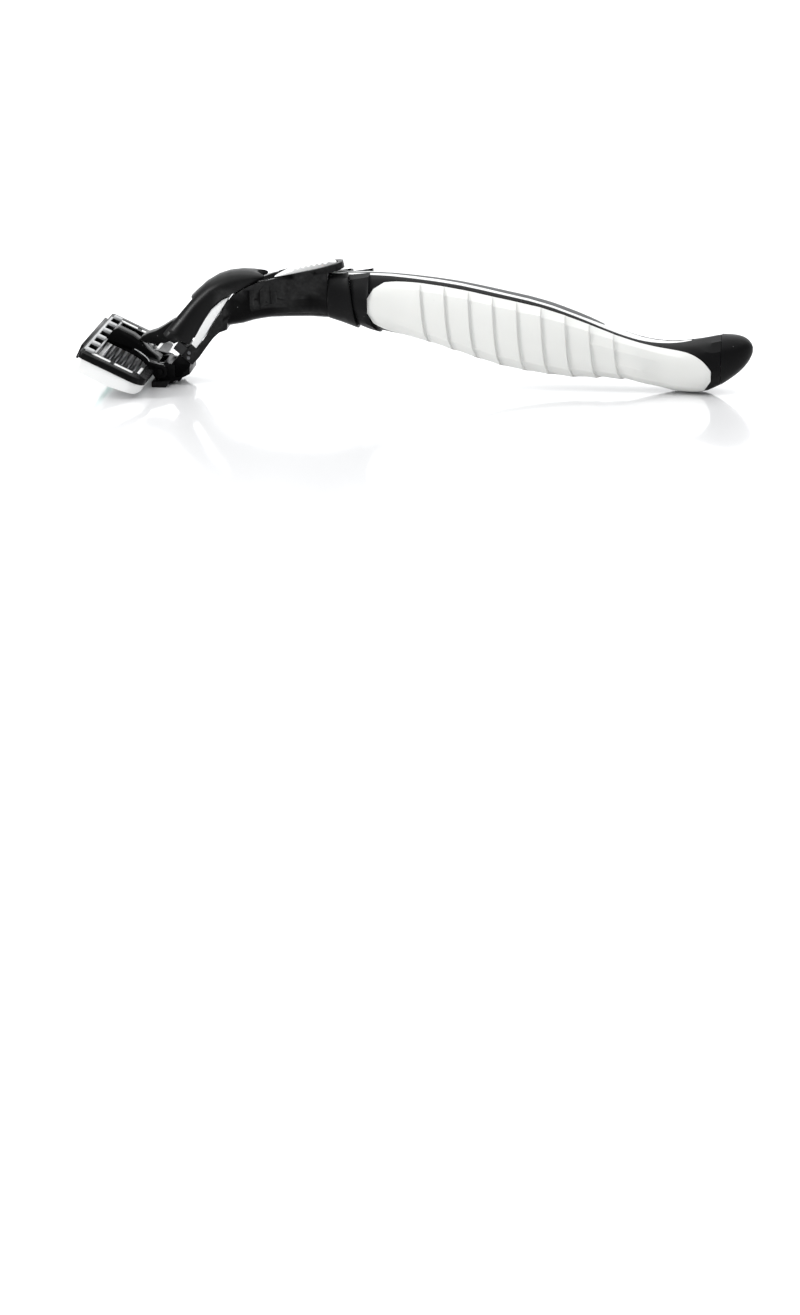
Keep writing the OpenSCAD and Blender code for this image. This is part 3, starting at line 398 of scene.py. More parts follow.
    def ground_lines(self) -> None:
        """Grinding lines that run along Y."""
        tree = self._new("ground_lines", {"Scale": self.line_scale}, ["Height"])
        give = tree.nodes["in"].outputs
        stretch = tree.nodes.new("ShaderNodeVectorMath")
        stretch.operation = "MULTIPLY"
        stretch.inputs[1].default_value = (1.0, self.line_squash, 1.0)
        tree.links.new(give["Vector"], stretch.inputs[0])
        lines = Wiring.noise(tree, stretch.outputs[0], give["Scale"], detail=2.0, rough=0.5)
        tree.links.new(lines, tree.nodes["out"].inputs["Height"])

    def build(self) -> None:
        """Makes every group."""
        self.grain()
        self.wear_and_painted_shade()
        self.chevrons()
        self.ground_lines()
        LOG.info("effects: %s", ", ".join(self.groups))


@dataclass(frozen=True)
class Finish:
    """One surface finish.

    Attributes:
        slot: The record's material slot.
        colour: Linear base colour.
        roughness: Mean roughness.
        specular: Strength of the surface's own reflection.
        metallic: 1 for metal.
        coat: Weight of the clear outer layer.
        coat_roughness: Roughness of that layer.
        subsurface: Weight of light that passes through the surface.
        scatter: How far red, green and blue light goes, as a share of the depth.
        scatter_depth: How deep light passes.
        grain_scale: Scale of the moulded grain.
        grain_depth: Depth of the grain.
        grain_strength: Strength of the grain's bump.
        variation: How far the colour drifts from place to place.
        wear: How strongly edges and smears show.
        rubbed: Share of white in a rubbed edge.
        painted_shade: Brightness of the painted shade in a hollow, as a share of the colour's.
        dust: Grey of a speck of dust.
        dust_share: Share of that grey in a speck.
        drift: How far the roughness drifts to either side.
        pattern: Relief on top of the grain.
        name_tail: Added to the material's name, for a second finish on one slot.
    """

    slot: str
    colour: Triple
    roughness: float
    specular: float = 0.5
    metallic: float = 0.0
    coat: float = 0.0
    coat_roughness: float = 0.12
    subsurface: float = 0.0
    scatter: Triple = (1.0, 0.9, 0.8)
    scatter_depth: float = 1.2 * MM
    grain_scale: float = 4000.0
    grain_depth: float = 0.01 * MM
    grain_strength: float = 0.6
    variation: float = 0.06
    wear: float = 0.3
    rubbed: float = 0.09
    # Brightness of the painted shade in hollows.
    painted_shade: float = 0.55
    dust: float = 0.35
    dust_share: float = 0.3
    drift: float = 0.07
    pattern: Pattern = Pattern.NONE
    name_tail: str = ""

    def material(self, effects: EffectLibrary) -> bpy.types.Material:
        """Gives the finish's material, built the first time that it is asked for.

        Args:
            effects: The shared node groups and the materials so far.

        Returns:
            The material.
        """
        name = self.slot + self.name_tail
        if name in effects.materials:
            return effects.materials[name]
        mat = bpy.data.materials.new(name)
        effects.materials[name] = mat
        mat.use_nodes = True
        tree = mat.node_tree
        shader = next(n for n in tree.nodes if n.type == "BSDF_PRINCIPLED")
        settings = {
            "Metallic": self.metallic,
            "Specular IOR Level": self.specular,
            "Coat Weight": self.coat,
            "Coat Roughness": self.coat_roughness,
            "Subsurface Weight": self.subsurface,
            "Subsurface Radius": self.scatter,
            "Subsurface Scale": self.scatter_depth,
        }
        for key, value in settings.items():
            shader.inputs[key].default_value = value
        vector = tree.nodes.new("ShaderNodeTexCoord").outputs["Object"]
        grain = effects.place(tree, "moulded_grain", vector)
        grain.inputs["Scale"].default_value = self.grain_scale
        wear_and_painted_shade = effects.place(tree, "wear_and_painted_shade", vector)
        wear_and_painted_shade.inputs["Amount"].default_value = self.wear
        self._colour(tree, shader, grain, wear_and_painted_shade)
        self._roughness(tree, shader, grain, wear_and_painted_shade)
        self._relief(tree, shader, grain, effects, vector)
        return mat

    def _colour(self, tree: Tree, shader: Node, grain: Node, wear_and_painted_shade: Node) -> None:
        """Drifts the base colour, paints shade into hollows, lightens rubbed edges and adds sparse
        specks.

        Args:
            tree: The material's tree.
            shader: Its Principled shader.
            grain: Its moulded_grain group.
            wear_and_painted_shade: Its handling group.
        """
        lift = 0.01 * self.variation
        deep = tuple(c * (1 - self.variation) for c in self.colour)
        light = tuple(min(1.0, c * (1 + self.variation) + lift) for c in self.colour)
        painted_shade = tuple(c * self.painted_shade for c in self.colour)
        rubbed = tuple(c + (1 - c) * self.rubbed for c in self.colour)
        speck = tuple(c + (self.dust - c) * self.dust_share for c in self.colour)
        tone = Wiring.mix(tree, grain.outputs["Unevenness"], deep, light)
        # Painted shade: hollows darkened to a share of the colour.
        tone = Wiring.mix(tree, wear_and_painted_shade.outputs["PaintedShade"], tone, painted_shade)
        tone = Wiring.mix(tree, wear_and_painted_shade.outputs["Edges"], tone, rubbed)
        tone = Wiring.mix(tree, wear_and_painted_shade.outputs["Specks"], tone, speck)
        tree.links.new(tone, shader.inputs["Base Color"])

    def _roughness(self, tree: Tree, shader: Node, grain: Node, wear_and_painted_shade: Node) -> None:
        """Varies the roughness with the grain's unevenness and with smears.

        Args:
            tree: The material's tree.
            shader: Its Principled shader.
            grain: Its moulded_grain group.
            wear_and_painted_shade: Its handling group.
        """
        smoothest = 0.02
        span = (max(smoothest, self.roughness - self.drift), min(1.0, self.roughness + self.drift))
        spread = Wiring.span(tree, grain.outputs["Unevenness"], target=span)
        total = Wiring.math(tree, "ADD", spread, wear_and_painted_shade.outputs["Smears"])
        total.node.use_clamp = True
        tree.links.new(total, shader.inputs["Roughness"])

    def _relief(self, tree: Tree, shader: Node, grain: Node, effects: EffectLibrary,
                vector: Socket) -> None:
        """Bumps the surface with the grain and with the finish's pattern.

        Args:
            tree: The material's tree.
            shader: Its Principled shader.
            grain: Its moulded_grain group.
            effects: The shared node groups.
            vector: The object's coordinates.
        """
        bump = tree.nodes.new("ShaderNodeBump")
        bump.inputs["Distance"].default_value = self.grain_depth
        bump.inputs["Strength"].default_value = self.grain_strength
        tree.links.new(grain.outputs["Height"], bump.inputs["Height"])
        if self.pattern is not Pattern.NONE:
            name, depth = self.pattern.value
            relief = effects.place(tree, name, vector)
            second = tree.nodes.new("ShaderNodeBump")
            second.inputs["Distance"].default_value = depth
            tree.links.new(relief.outputs["Height"], second.inputs["Height"])
            tree.links.new(second.outputs["Normal"], bump.inputs["Normal"])
        tree.links.new(bump.outputs["Normal"], shader.inputs["Normal"])


SOFT_BLACK = Finish("soft_black", (0.0022, 0.0022, 0.0024), roughness=0.4, specular=0.09,
                    grain_scale=5200.0, grain_depth=0.012 * MM, variation=0.12, wear=0.25)
GLOSS_BLACK = Finish("gloss_black", (0.0006, 0.0006, 0.0007), roughness=0.22, specular=0.035,
                     grain_scale=3000.0, grain_depth=0.004 * MM, variation=0.15)
SATIN_BLACK = Finish("satin_black", (0.0015, 0.0015, 0.0016), roughness=0.34, specular=0.12,
                     grain_scale=4400.0, grain_depth=0.007 * MM, variation=0.12)
GRIP_WHITE = Finish("grip_white", (0.63, 0.632, 0.612), roughness=0.46, subsurface=0.12,
                    grain_scale=3600.0, variation=0.03, wear=0.12)
WHITE_PLASTIC = Finish("white_plastic", (0.7, 0.702, 0.695), roughness=0.3, coat=0.15,
                       subsurface=0.06, grain_scale=3200.0, grain_depth=0.004 * MM,
                       variation=0.03, wear=0.12)
INLAY_WHITE = Finish("white_plastic", (0.7, 0.702, 0.695), roughness=0.38, subsurface=0.06,
                     grain_scale=3200.0, grain_depth=0.005 * MM, variation=0.03, wear=0.12,
                     pattern=Pattern.CHEVRONS, name_tail="_inlay")
INSERT_GREY = Finish("insert_grey", (0.04, 0.042, 0.043), roughness=0.5, specular=0.3,
                     grain_scale=2600.0, grain_depth=0.02 * MM, variation=0.12, wear=0.2)
DOCK_GREY = Finish("dock_grey", (0.008, 0.008, 0.0085), roughness=0.4, specular=0.25,
                   grain_scale=3000.0, grain_depth=0.012 * MM, variation=0.12, wear=0.4)
STEEL = Finish("steel", (0.56, 0.57, 0.59), roughness=0.27, metallic=1.0, grain_scale=2600.0,
               grain_depth=0.003 * MM, pattern=Pattern.BRUSHED)
# Steel darkened far below bare steel: painted shade on the blades in the cartridge's dark hollow
# and on the dock pins.
STEEL_PAINTED_SHADE = Finish("steel", (0.13, 0.132, 0.138), roughness=0.33, metallic=1.0,
                     grain_scale=2600.0, grain_depth=0.003 * MM, variation=0.1,
                     pattern=Pattern.BRUSHED, name_tail="_blade")
# Light grey on the gloss black slot: painted highlight on the rail bars and round the saddle's
# hollows.
RAIL_PAINTED_HIGHLIGHT = Finish("gloss_black", (0.36, 0.365, 0.37), roughness=0.3, coat=0.2,
                   grain_scale=3000.0, grain_depth=0.006 * MM, variation=0.12, wear=0.5,
                   name_tail="_rail")
STRIP_GREEN = Finish("strip_green", (0.03, 0.36, 0.29), roughness=0.5, subsurface=0.2,
                     grain_scale=1800.0, grain_depth=0.03 * MM, variation=0.14, wear=0.2)
GUARD_GREY = Finish("guard_grey", (0.6, 0.62, 0.62), roughness=0.55, subsurface=0.1,
                    grain_scale=2600.0, variation=0.05, wear=0.15)


# ---- Modelling by hand ----


class Hand:
    """Small modelling steps, each on the piece that is selected."""

    @staticmethod
    def only(obj: Piece) -> None:
        """Selects one piece and makes it active.

        Args:
            obj: Piece to select.
        """
        bpy.ops.object.select_all(action="DESELECT")
        obj.hide_set(False)
        obj.hide_viewport = False
        obj.select_set(True)
        bpy.context.view_layer.objects.active = obj

    @staticmethod
    def bevel(obj: Piece, width: float, segments: int, angle: float) -> None:
        """Rounds the edges that are sharper than an angle.

        Args:
            obj: Piece to round.
            width: Width of the rounding.
            segments: Steps across it.
            angle: Smallest angle that counts as an edge, in degrees.
        """
        Hand.only(obj)
        mod = obj.modifiers.new("edges", "BEVEL")
        mod.width = width
        mod.segments = segments
        mod.limit_method = "ANGLE"
        mod.angle_limit = math.radians(angle)
        mod.use_clamp_overlap = True
        mod.miter_outer = "MITER_ARC"
        bpy.ops.object.modifier_apply(modifier=mod.name)

    @staticmethod
    def subdivide(obj: Piece, levels: int) -> None:
        """Smooths a piece with a subdivision surface.

        Args:
            obj: Piece to smooth.
            levels: Times that each face is divided.
        """
        Hand.only(obj)
        mod = obj.modifiers.new("smooth", "SUBSURF")
        mod.levels = levels
        mod.render_levels = levels
        bpy.ops.object.modifier_apply(modifier=mod.name)

    @staticmethod
    def settle(obj: Piece, name: str, smoothing: Smoothing = Smoothing.MACHINED) -> Piece:
        """Puts a finished piece's object at the origin, unturned, with smooth faces.

        Args:
            obj: The piece.
            name: Its name.
            smoothing: Sets which edges stay sharp.

        Returns:
            The piece.
        """
        Hand.only(obj)
        bpy.ops.object.transform_apply(location=True, rotation=True, scale=True)
        bpy.ops.object.shade_smooth_by_angle(angle=math.radians(smoothing.value))
        obj.name = name
        obj.data.name = name
        return obj

    @staticmethod
    def join(pieces: list[Piece]) -> Piece:
        """Joins pieces into the first one.

        Args:
            pieces: Pieces to join.

        Returns:
            The joined piece.
        """
        Hand.only(pieces[0])
        for piece in pieces:
            piece.select_set(True)
        bpy.ops.object.join()
        return bpy.context.view_layer.objects.active

    @staticmethod
    def copy(obj: Piece) -> Piece:
        """Duplicates a piece with its own mesh.

        Args:
            obj: Piece to copy.

        Returns:
            The copy.
        """
        Hand.only(obj)
        bpy.ops.object.duplicate(linked=False)
        return bpy.context.view_layer.objects.active

    @staticmethod
    def clean(obj: Piece, smoothing: Smoothing) -> None:
        """Welds a copied surface's loose triangles and merges them into larger faces.

        Args:
            obj: Copy of a CAD node.
            smoothing: Lofted surfaces get quads, machined ones get their flat faces back.
        """
        weld = 0.002 * MM
        quad_bend = math.radians(50)
        quad_skew = math.radians(70)
        flat = math.radians(0.6)
        Hand.only(obj)
        bpy.ops.object.mode_set(mode="EDIT")
        bpy.ops.mesh.select_all(action="SELECT")
        bpy.ops.mesh.remove_doubles(threshold=weld)
        if smoothing is Smoothing.LOFTED:
            bpy.ops.mesh.tris_convert_to_quads(face_threshold=quad_bend, shape_threshold=quad_skew)
        else:
            bpy.ops.mesh.dissolve_limited(angle_limit=flat)
        bpy.ops.mesh.normals_make_consistent(inside=False)
        bpy.ops.object.mode_set(mode="OBJECT")


@dataclass
class Assembly:
    """A group of pieces that are dressed together.

    Attributes:
        effects: The shared node groups and materials.
    """

    effects: EffectLibrary

    def dress(self, obj: Piece, body: Body, finish: Finish, *nodes: str) -> Piece:
        """Gives a piece its finish and its body, and hides the CAD nodes that it stands for.

        Args:
            obj: Finished piece.
            body: Body that it rides on.
            finish: Its surface.
            nodes: CAD nodes that it replaces.

        Returns:
            The piece.
        """
        obj.data.materials.clear()
        obj.data.materials.append(finish.material(self.effects))
        for poly in obj.data.polygons:
            poly.material_index = 0
        if nodes:
            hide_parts(*nodes)
        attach(obj, body.value)
        LOG.info("%s: %d faces, %s", obj.name, len(obj.data.polygons), finish.slot)
        return obj

    def surface(self, node: str, body: Body, finish: Finish, smoothing: Smoothing, width: float,
                segments: int = 2, levels: int = 1, angle: float = 32.0) -> Piece:
        """Copies a CAD node, cleans its mesh and rounds its edges.

        Args:
            node: CAD node to copy and stand for.
            body: Body that it rides on.
            finish: Its surface.
            smoothing: Lofted pieces are subdivided, machined ones only rounded.
            width: Width of the edge rounding, or 0 for none.
            segments: Steps across the rounding.
            levels: Subdivision levels of a lofted piece.
            angle: Smallest angle that counts as an edge, in degrees.

        Returns:
            The dressed piece.
        """
        obj = Hand.copy(frame["nodes"][node])
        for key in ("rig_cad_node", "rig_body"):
            if key in obj:
                del obj[key]
        obj.parent = None
        obj.matrix_world = Matrix.Identity(4)
        Hand.clean(obj, smoothing)
        if width > 0:
            Hand.bevel(obj, width, segments, angle)
        if smoothing is Smoothing.LOFTED:
            Hand.subdivide(obj, levels)
        Hand.settle(obj, node + "_surface", smoothing)
        return self.dress(obj, body, finish, node)


# ---- The razor ----


@dataclass
class Handle(Assembly):
    """Skin, grips, inlays, spine and tail.

    Attributes:
        skin_edge: Width of the edge rounding on the black skin.
        skin_angle: Smallest angle that counts as an edge on the skin, in degrees.
        grip_edge: Width of the edge rounding on the grips.
        grip_angle: Smallest angle that counts as an edge on the grips, in degrees.
        inlay_edge: Width of the edge rounding on the hard white pieces.
        insert_edge: Width of the edge rounding on the leaf-shaped insert.
        soft_levels: Subdivision levels of the soft pieces.
    """

    skin_edge: float = 0.16 * MM
    skin_angle: float = 34.0
    grip_edge: float = 0.128 * MM
    grip_angle: float = 24.0
    inlay_edge: float = 0.08 * MM
    insert_edge: float = 0.096 * MM
    soft_levels: int = 2

    def build(self) -> None:
        """Builds every piece of the handle."""
        lofted, machined = Smoothing.LOFTED, Smoothing.MACHINED
        for node in ("handle_shell", "tail_cap", "collar"):
            self.surface(node, Body.HANDLE, SOFT_BLACK, lofted, self.skin_edge,
                         levels=self.soft_levels, angle=self.skin_angle)
        for node in ("grip_left", "grip_right"):
            self.surface(node, Body.HANDLE, GRIP_WHITE, lofted, self.grip_edge,
                         levels=self.soft_levels, angle=self.grip_angle)
        self.surface("top_inlay", Body.HANDLE, INLAY_WHITE, machined, self.inlay_edge)
        self.surface("top_insert", Body.HANDLE, INSERT_GREY, lofted, self.insert_edge)
        self.surface("core_spine", Body.HANDLE, WHITE_PLASTIC, machined, self.inlay_edge)


@dataclass
class Neck(Assembly):
    """Barrel, arm cover and the parts at the dock.

    Attributes:
        edge: Width of the edge rounding on the large pieces.
        dock_edge: Width of the edge rounding on the dock and the fork.
        pin_edge: Width of the edge rounding on the dock pins.
        button_edge: Width of the edge rounding on the button.
        pin_radius: Radius of a pin's domed end.
        pin_inset: From the pins' box to a pin's middle.
        dome_depth: Thickness of a domed end.
        dome_edge: Width of the rounding on its rim.
        dome_angle: Smallest angle that counts as an edge on it, in degrees.
    """

    edge: float = 0.14 * MM
    dock_edge: float = 0.084 * MM
    pin_edge: float = 0.08 * MM
    button_edge: float = 0.12 * MM
    pin_radius: float = 0.38 * MM
    pin_inset: float = 0.4 * MM
    dome_depth: float = 0.16 * MM
    dome_edge: float = 0.06 * MM
    dome_angle: float = 40.0

    def build(self) -> None:
        """Builds the neck's pieces."""
        lofted, machined = Smoothing.LOFTED, Smoothing.MACHINED
        self.surface("neck_housing", Body.HANDLE, GLOSS_BLACK, machined, self.edge)
        self.surface("arm_cover", Body.HANDLE, SATIN_BLACK, machined, self.edge)
        self.surface("dock_head", Body.HANDLE, DOCK_GREY, machined, self.dock_edge)
        # Dock pins in darkened steel: painted shade.
        self.surface("dock_pins", Body.HANDLE, STEEL_PAINTED_SHADE, machined, self.pin_edge)
        self.surface("eject_spring", Body.HANDLE, STEEL, lofted, 0.0)
        self.surface("eject_fork", Body.FORK, DOCK_GREY, machined, self.dock_edge)
        self.surface("pivot_plunger", Body.PLUNGER, SATIN_BLACK, machined, self.edge)
        self.surface("eject_button", Body.BUTTON, WHITE_PLASTIC, machined, self.button_edge,
                     segments=3)
        self.pin_heads()

    def pin_heads(self) -> None:
        """Domed ends of the two dock pins, each a short cylinder with a rounded rim."""
        low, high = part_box("dock_pins")
        inset = self.pin_inset
        spots = ((low.x + inset, low.z + inset), (high.x - inset, high.z - inset))
        heads: list[Piece] = []
        for side, y in (("left", low.y), ("right", high.y)):
            for index, (x, z) in enumerate(spots, start=1):
                place = Vector((x, y, z))
                head = Hand.copy(heads[0]) if heads else self._dome(place)
                head.location = place
                head.name = f"pin_head_{side}_{index}"
                heads.append(head)
        # Pin heads in darkened steel: painted shade.
        for head in heads:
            Hand.settle(head, head.name)
            self.dress(head, Body.HANDLE, STEEL_PAINTED_SHADE)

    def _dome(self, place: Vector) -> Piece:
        """Models one domed pin end.

        Args:
            place: Middle of the pin's end.

        Returns:
            The dome, not yet dressed.
        """
        bpy.ops.object.select_all(action="DESELECT")
        bpy.ops.mesh.primitive_cylinder_add(
            vertices=32, radius=self.pin_radius, depth=self.dome_depth, location=place,
            rotation=(math.radians(90), 0, 0))
        dome = bpy.context.active_object
        Hand.bevel(dome, self.dome_edge, 3, self.dome_angle)
        return dome


@dataclass(frozen=True)
class Section:
    """Section of a bar that runs along the blades, in the cartridge's own frame.

    Attributes:
        x: Its range away from the cap edge, in millimetres.
        z: Its range out of the cartridge's back, in millimetres.
        edge: Width of the edge rounding.
    """

    x: Pair
    z: Pair
    edge: float


@dataclass
class Cartridge(Assembly):
    """Frame, housing, blades, strips, the connector and painted highlights on the frame.

    Points of the cartridge's own frame are in millimetres: x runs from the cap edge to the guard
    edge, y along the blades, and z out of the cartridge's back.

    Attributes:
        edge: Width of the edge rounding on the large pieces.
        strip_edge: The same on the lubricating strip.
        fin_edge: The same on the guard fins.
        guard_edge: The same on the trimmer's guard.
        foil_edge: The same on the trimmer's blade.
        blade_edge: The same on the blades.
        hinge: The pivot pins' axis in the cartridge's own frame.
        tilt: How far the cartridge leans, in degrees.
        width: Its width along the blades, in millimetres.
        blades: Number of blades.
        windows: Number of windows in the cap-side rail.
        margin: Both plain ends of the rail together, in millimetres.
        inner_rail: Thin rail on the guard's side of the windows.
        outer_rail: Thin rail on the cap's side of the windows.
        outer_reach: How much further the outer rail runs at each end, in millimetres.
        cross_bar: Bar between two windows.
        bar_half: Half of that bar's width along the blades, in millimetres.
        ledge: Ledge beside the last blade.
        ledge_inner: From the mirror plane to a ledge, in millimetres.
        ledge_outer: From the cartridge's end to a ledge, in millimetres.
        hollow: Middle of the right hollow of the saddle.
        hollow_cut: Corner of that hollow, from which its arc runs.
        hollow_radius: Radius of the hollow's edge.
        line_radius: Radius of the painted highlight line along it.
    """

    edge: float = 0.09 * MM
    strip_edge: float = 0.126 * MM
    fin_edge: float = 0.054 * MM
    guard_edge: float = 0.045 * MM
    foil_edge: float = 0.027 * MM
    blade_edge: float = 0.036 * MM
    hinge: Triple = (16.15, 0.0, -0.3)
    tilt: float = 25.0
    width: float = 42.0
    blades: int = 6
    windows: int = 5
    margin: float = 7.0
    inner_rail: Section = Section((2.62, 2.98), (-0.02, 0.09), 0.03 * MM)
    outer_rail: Section = Section((0.3, 0.78), (-0.02, 0.07), 0.03 * MM)
    outer_reach: float = 0.6
    cross_bar: Section = Section((0.78, 2.66), (-0.02, 0.56), 0.12 * MM)
    bar_half: float = 0.9
    ledge: Section = Section((12.42, 13.02), (-0.8, -0.12), 0.06 * MM)
    ledge_inner: float = 10.4
    ledge_outer: float = 4.6
    hollow: Triple = (8.0, 7.2, 0.7)
    hollow_cut: Triple = (9.0, 6.4, 0.7)
    hollow_radius: float = 5.2 * MM
    line_radius: float = 0.11 * MM

    def build(self) -> None:
        """Builds the cartridge's pieces."""
        body, machined = Body.CARTRIDGE, Smoothing.MACHINED
        self.surface("connector", Body.CONNECTOR, GLOSS_BLACK, machined, self.edge)
        self.surface("cartridge_frame", body, GLOSS_BLACK, machined, self.edge)
        self.surface("cartridge_housing", body, WHITE_PLASTIC, machined, self.edge)
        self.surface("lubricating_strip", body, STRIP_GREEN, machined, self.strip_edge)
        self.surface("guard_fins", body, GUARD_GREY, machined, self.fin_edge)
        self.surface("trimmer_guard", body, GLOSS_BLACK, machined, self.guard_edge)
        self.surface("trimmer_blade", body, STEEL, machined, self.foil_edge)
        # Blades in darkened steel: painted shade.
        for index in range(self.blades):
            self.surface(f"blade_{index + 1}", body, STEEL_PAINTED_SHADE, machined, self.blade_edge)
        self.rail()
        self.ledges()
        self.saddle_highlight_rings()

    def turn(self) -> Matrix:
        """Gives the rotation from the cartridge's own frame to the razor's."""
        return Matrix.Rotation(math.radians(self.tilt), 3, "Y")

    def place(self, x: float, y: float, z: float) -> Vector:
        """Takes a point of the cartridge's own frame to the razor's, by way of the pivot joint.

        Args:
            x: Distance from the cap edge, in millimetres.
            y: Distance along the blades, in millimetres.
            z: Distance out of the cartridge's back, in millimetres.

        Returns:
            The point in the razor's frame, in metres.
        """
        joint = next(j for j in frame["joints"] if j["name"] == "cartridge_pivot")
        arm = (Vector((x, y, z)) - Vector(self.hinge)) * MM
        return Vector(joint["pos_m"]) + self.turn() @ arm

    def bar(self, section: Section, ends: Pair) -> Piece:
        """Models one rounded bar in the cartridge's own frame.

        Args:
            section: Its section and rounding.
            ends: Its range along the blades, in millimetres.

        Returns:
            The bar, not yet dressed.
        """
        ranges = (section.x, ends, section.z)
        middle = [(low + high) / 2 for low, high in ranges]
        bpy.ops.object.select_all(action="DESELECT")
        bpy.ops.mesh.primitive_cube_add(size=1.0, location=self.place(*middle),
                                        rotation=(0, math.radians(self.tilt), 0))
        obj = bpy.context.active_object
        bpy.ops.object.mode_set(mode="EDIT")
        bpy.ops.mesh.select_all(action="SELECT")
        for axis, (low, high) in enumerate(ranges):
            scale = [1.0, 1.0, 1.0]
            scale[axis] = (high - low) * MM
            bpy.ops.transform.resize(value=scale, orient_type="LOCAL",
                                     center_override=obj.location)
        bpy.ops.mesh.bevel(offset=section.edge, segments=2, affect="EDGES")
        bpy.ops.object.mode_set(mode="OBJECT")
        return obj

    def rail(self) -> None:
        """Light grey bars between the windows of the cap-side rail, with a thin rail on each side;
        their grey is a painted highlight on the black frame.
        """
        pitch = (self.width - self.margin) / self.windows
        half = self.windows * pitch / 2 - pitch * 0.2 + self.bar_half / 2
        reach = half + self.outer_reach
        pieces = [self.bar(self.inner_rail, (-half, half)),
                  self.bar(self.outer_rail, (-reach, reach))]
        for index in range(self.windows + 1):
            y = (index - self.windows / 2) * pitch
            pieces.append(self.bar(self.cross_bar, (y - self.bar_half, y + self.bar_half)))
        joined = Hand.settle(Hand.join(pieces), "rail_bars_painted_highlight")
        # Painted highlight: light grey bars on the black frame's rail.
        self.dress(joined, Body.CARTRIDGE, RAIL_PAINTED_HIGHLIGHT)

    def ledges(self) -> None:
        """White ledges of the housing that show through the frame beside the last blade."""
        outer = self.width / 2 - self.ledge_outer
        for name, ends in (("left", (-outer, -self.ledge_inner)),
                           ("right", (self.ledge_inner, outer))):
            ledge = self.bar(self.ledge, ends)
            Hand.settle(ledge, f"guard_ledge_{name}")
            self.dress(ledge, Body.CARTRIDGE, WHITE_PLASTIC)

    def saddle_highlight_rings(self) -> None:
        """Thin light grey rings round the two hollows of the saddle: painted highlights along their
        edges.
        """
        for name, side in (("left", -1), ("right", 1)):
            x, y, z = self.hollow
            bpy.ops.object.select_all(action="DESELECT")
            bpy.ops.mesh.primitive_torus_add(
                location=self.place(x, side * y, z), rotation=(0, math.radians(self.tilt), 0),
                major_segments=96, minor_segments=8,
                major_radius=self.hollow_radius, minor_radius=self.line_radius)
            ring = bpy.context.active_object
            bpy.ops.object.transform_apply(location=True, rotation=True, scale=True)
            for point, normal in self._saddle_cuts(side):
                bpy.ops.object.mode_set(mode="EDIT")
                bpy.ops.mesh.select_all(action="SELECT")
                bpy.ops.mesh.bisect(plane_co=point, plane_no=normal, clear_outer=True,
                                    use_fill=True)
                bpy.ops.object.mode_set(mode="OBJECT")
            Hand.settle(ring, f"saddle_painted_highlight_{name}")
            # Painted highlight: light grey ring on the black saddle.
            self.dress(ring, Body.CARTRIDGE, RAIL_PAINTED_HIGHLIGHT)

    def _saddle_cuts(self, side: int) -> list[tuple[Vector, Vector]]:
        """Gives the planes that cut a ring down to the arc round one hollow.

        Args:
            side: -1 for the left hollow and 1 for the right one.

        Returns:
            A point and an outward normal for each plane.
        """
        x, y, z = self.hollow_cut
        point = self.place(x, side * y, z)
        return [(point, self.turn() @ Vector((-1, 0, 0))),
                (point, self.turn() @ Vector((0, side, 0)))]


# ---- Floor, light and camera ----


@dataclass(frozen=True)
class Softbox:
    """One soft rectangular light.

    Attributes:
        name: Its name.
        place: Where it stands.
        aim: Point that it faces.
        size: Its two sides.
        power: Its power in watts.
    """

    name: str
    place: Triple
    aim: Triple
    size: Pair
    power: float

    def build(self) -> None:
        """Adds the light to the scene."""
        data = bpy.data.lights.new(self.name, "AREA")
        data.shape = "RECTANGLE"
        data.size, data.size_y = self.size
        data.energy = self.power
        obj = bpy.data.objects.new(self.name, data)
        obj.location = self.place
        facing = Vector(self.aim) - Vector(self.place)
        obj.rotation_euler = facing.to_track_quat("-Z", "Y").to_euler()
        bpy.context.scene.collection.objects.link(obj)


OVERHEAD = Softbox("overhead", (0.0, 0.45, 1.3), (0.0, 0.45, 0.0), (3.2, 3.0), 46.0)
KEY = Softbox("key", (-0.8, -0.35, 0.4), (0.0, 0.0, 0.01), (0.25, 0.35), 7.0)
BACK = Softbox("back", (0.0, 2.5, 0.52), (0.0, 0.0, 0.52), (4.0, 1.0), 11.0)


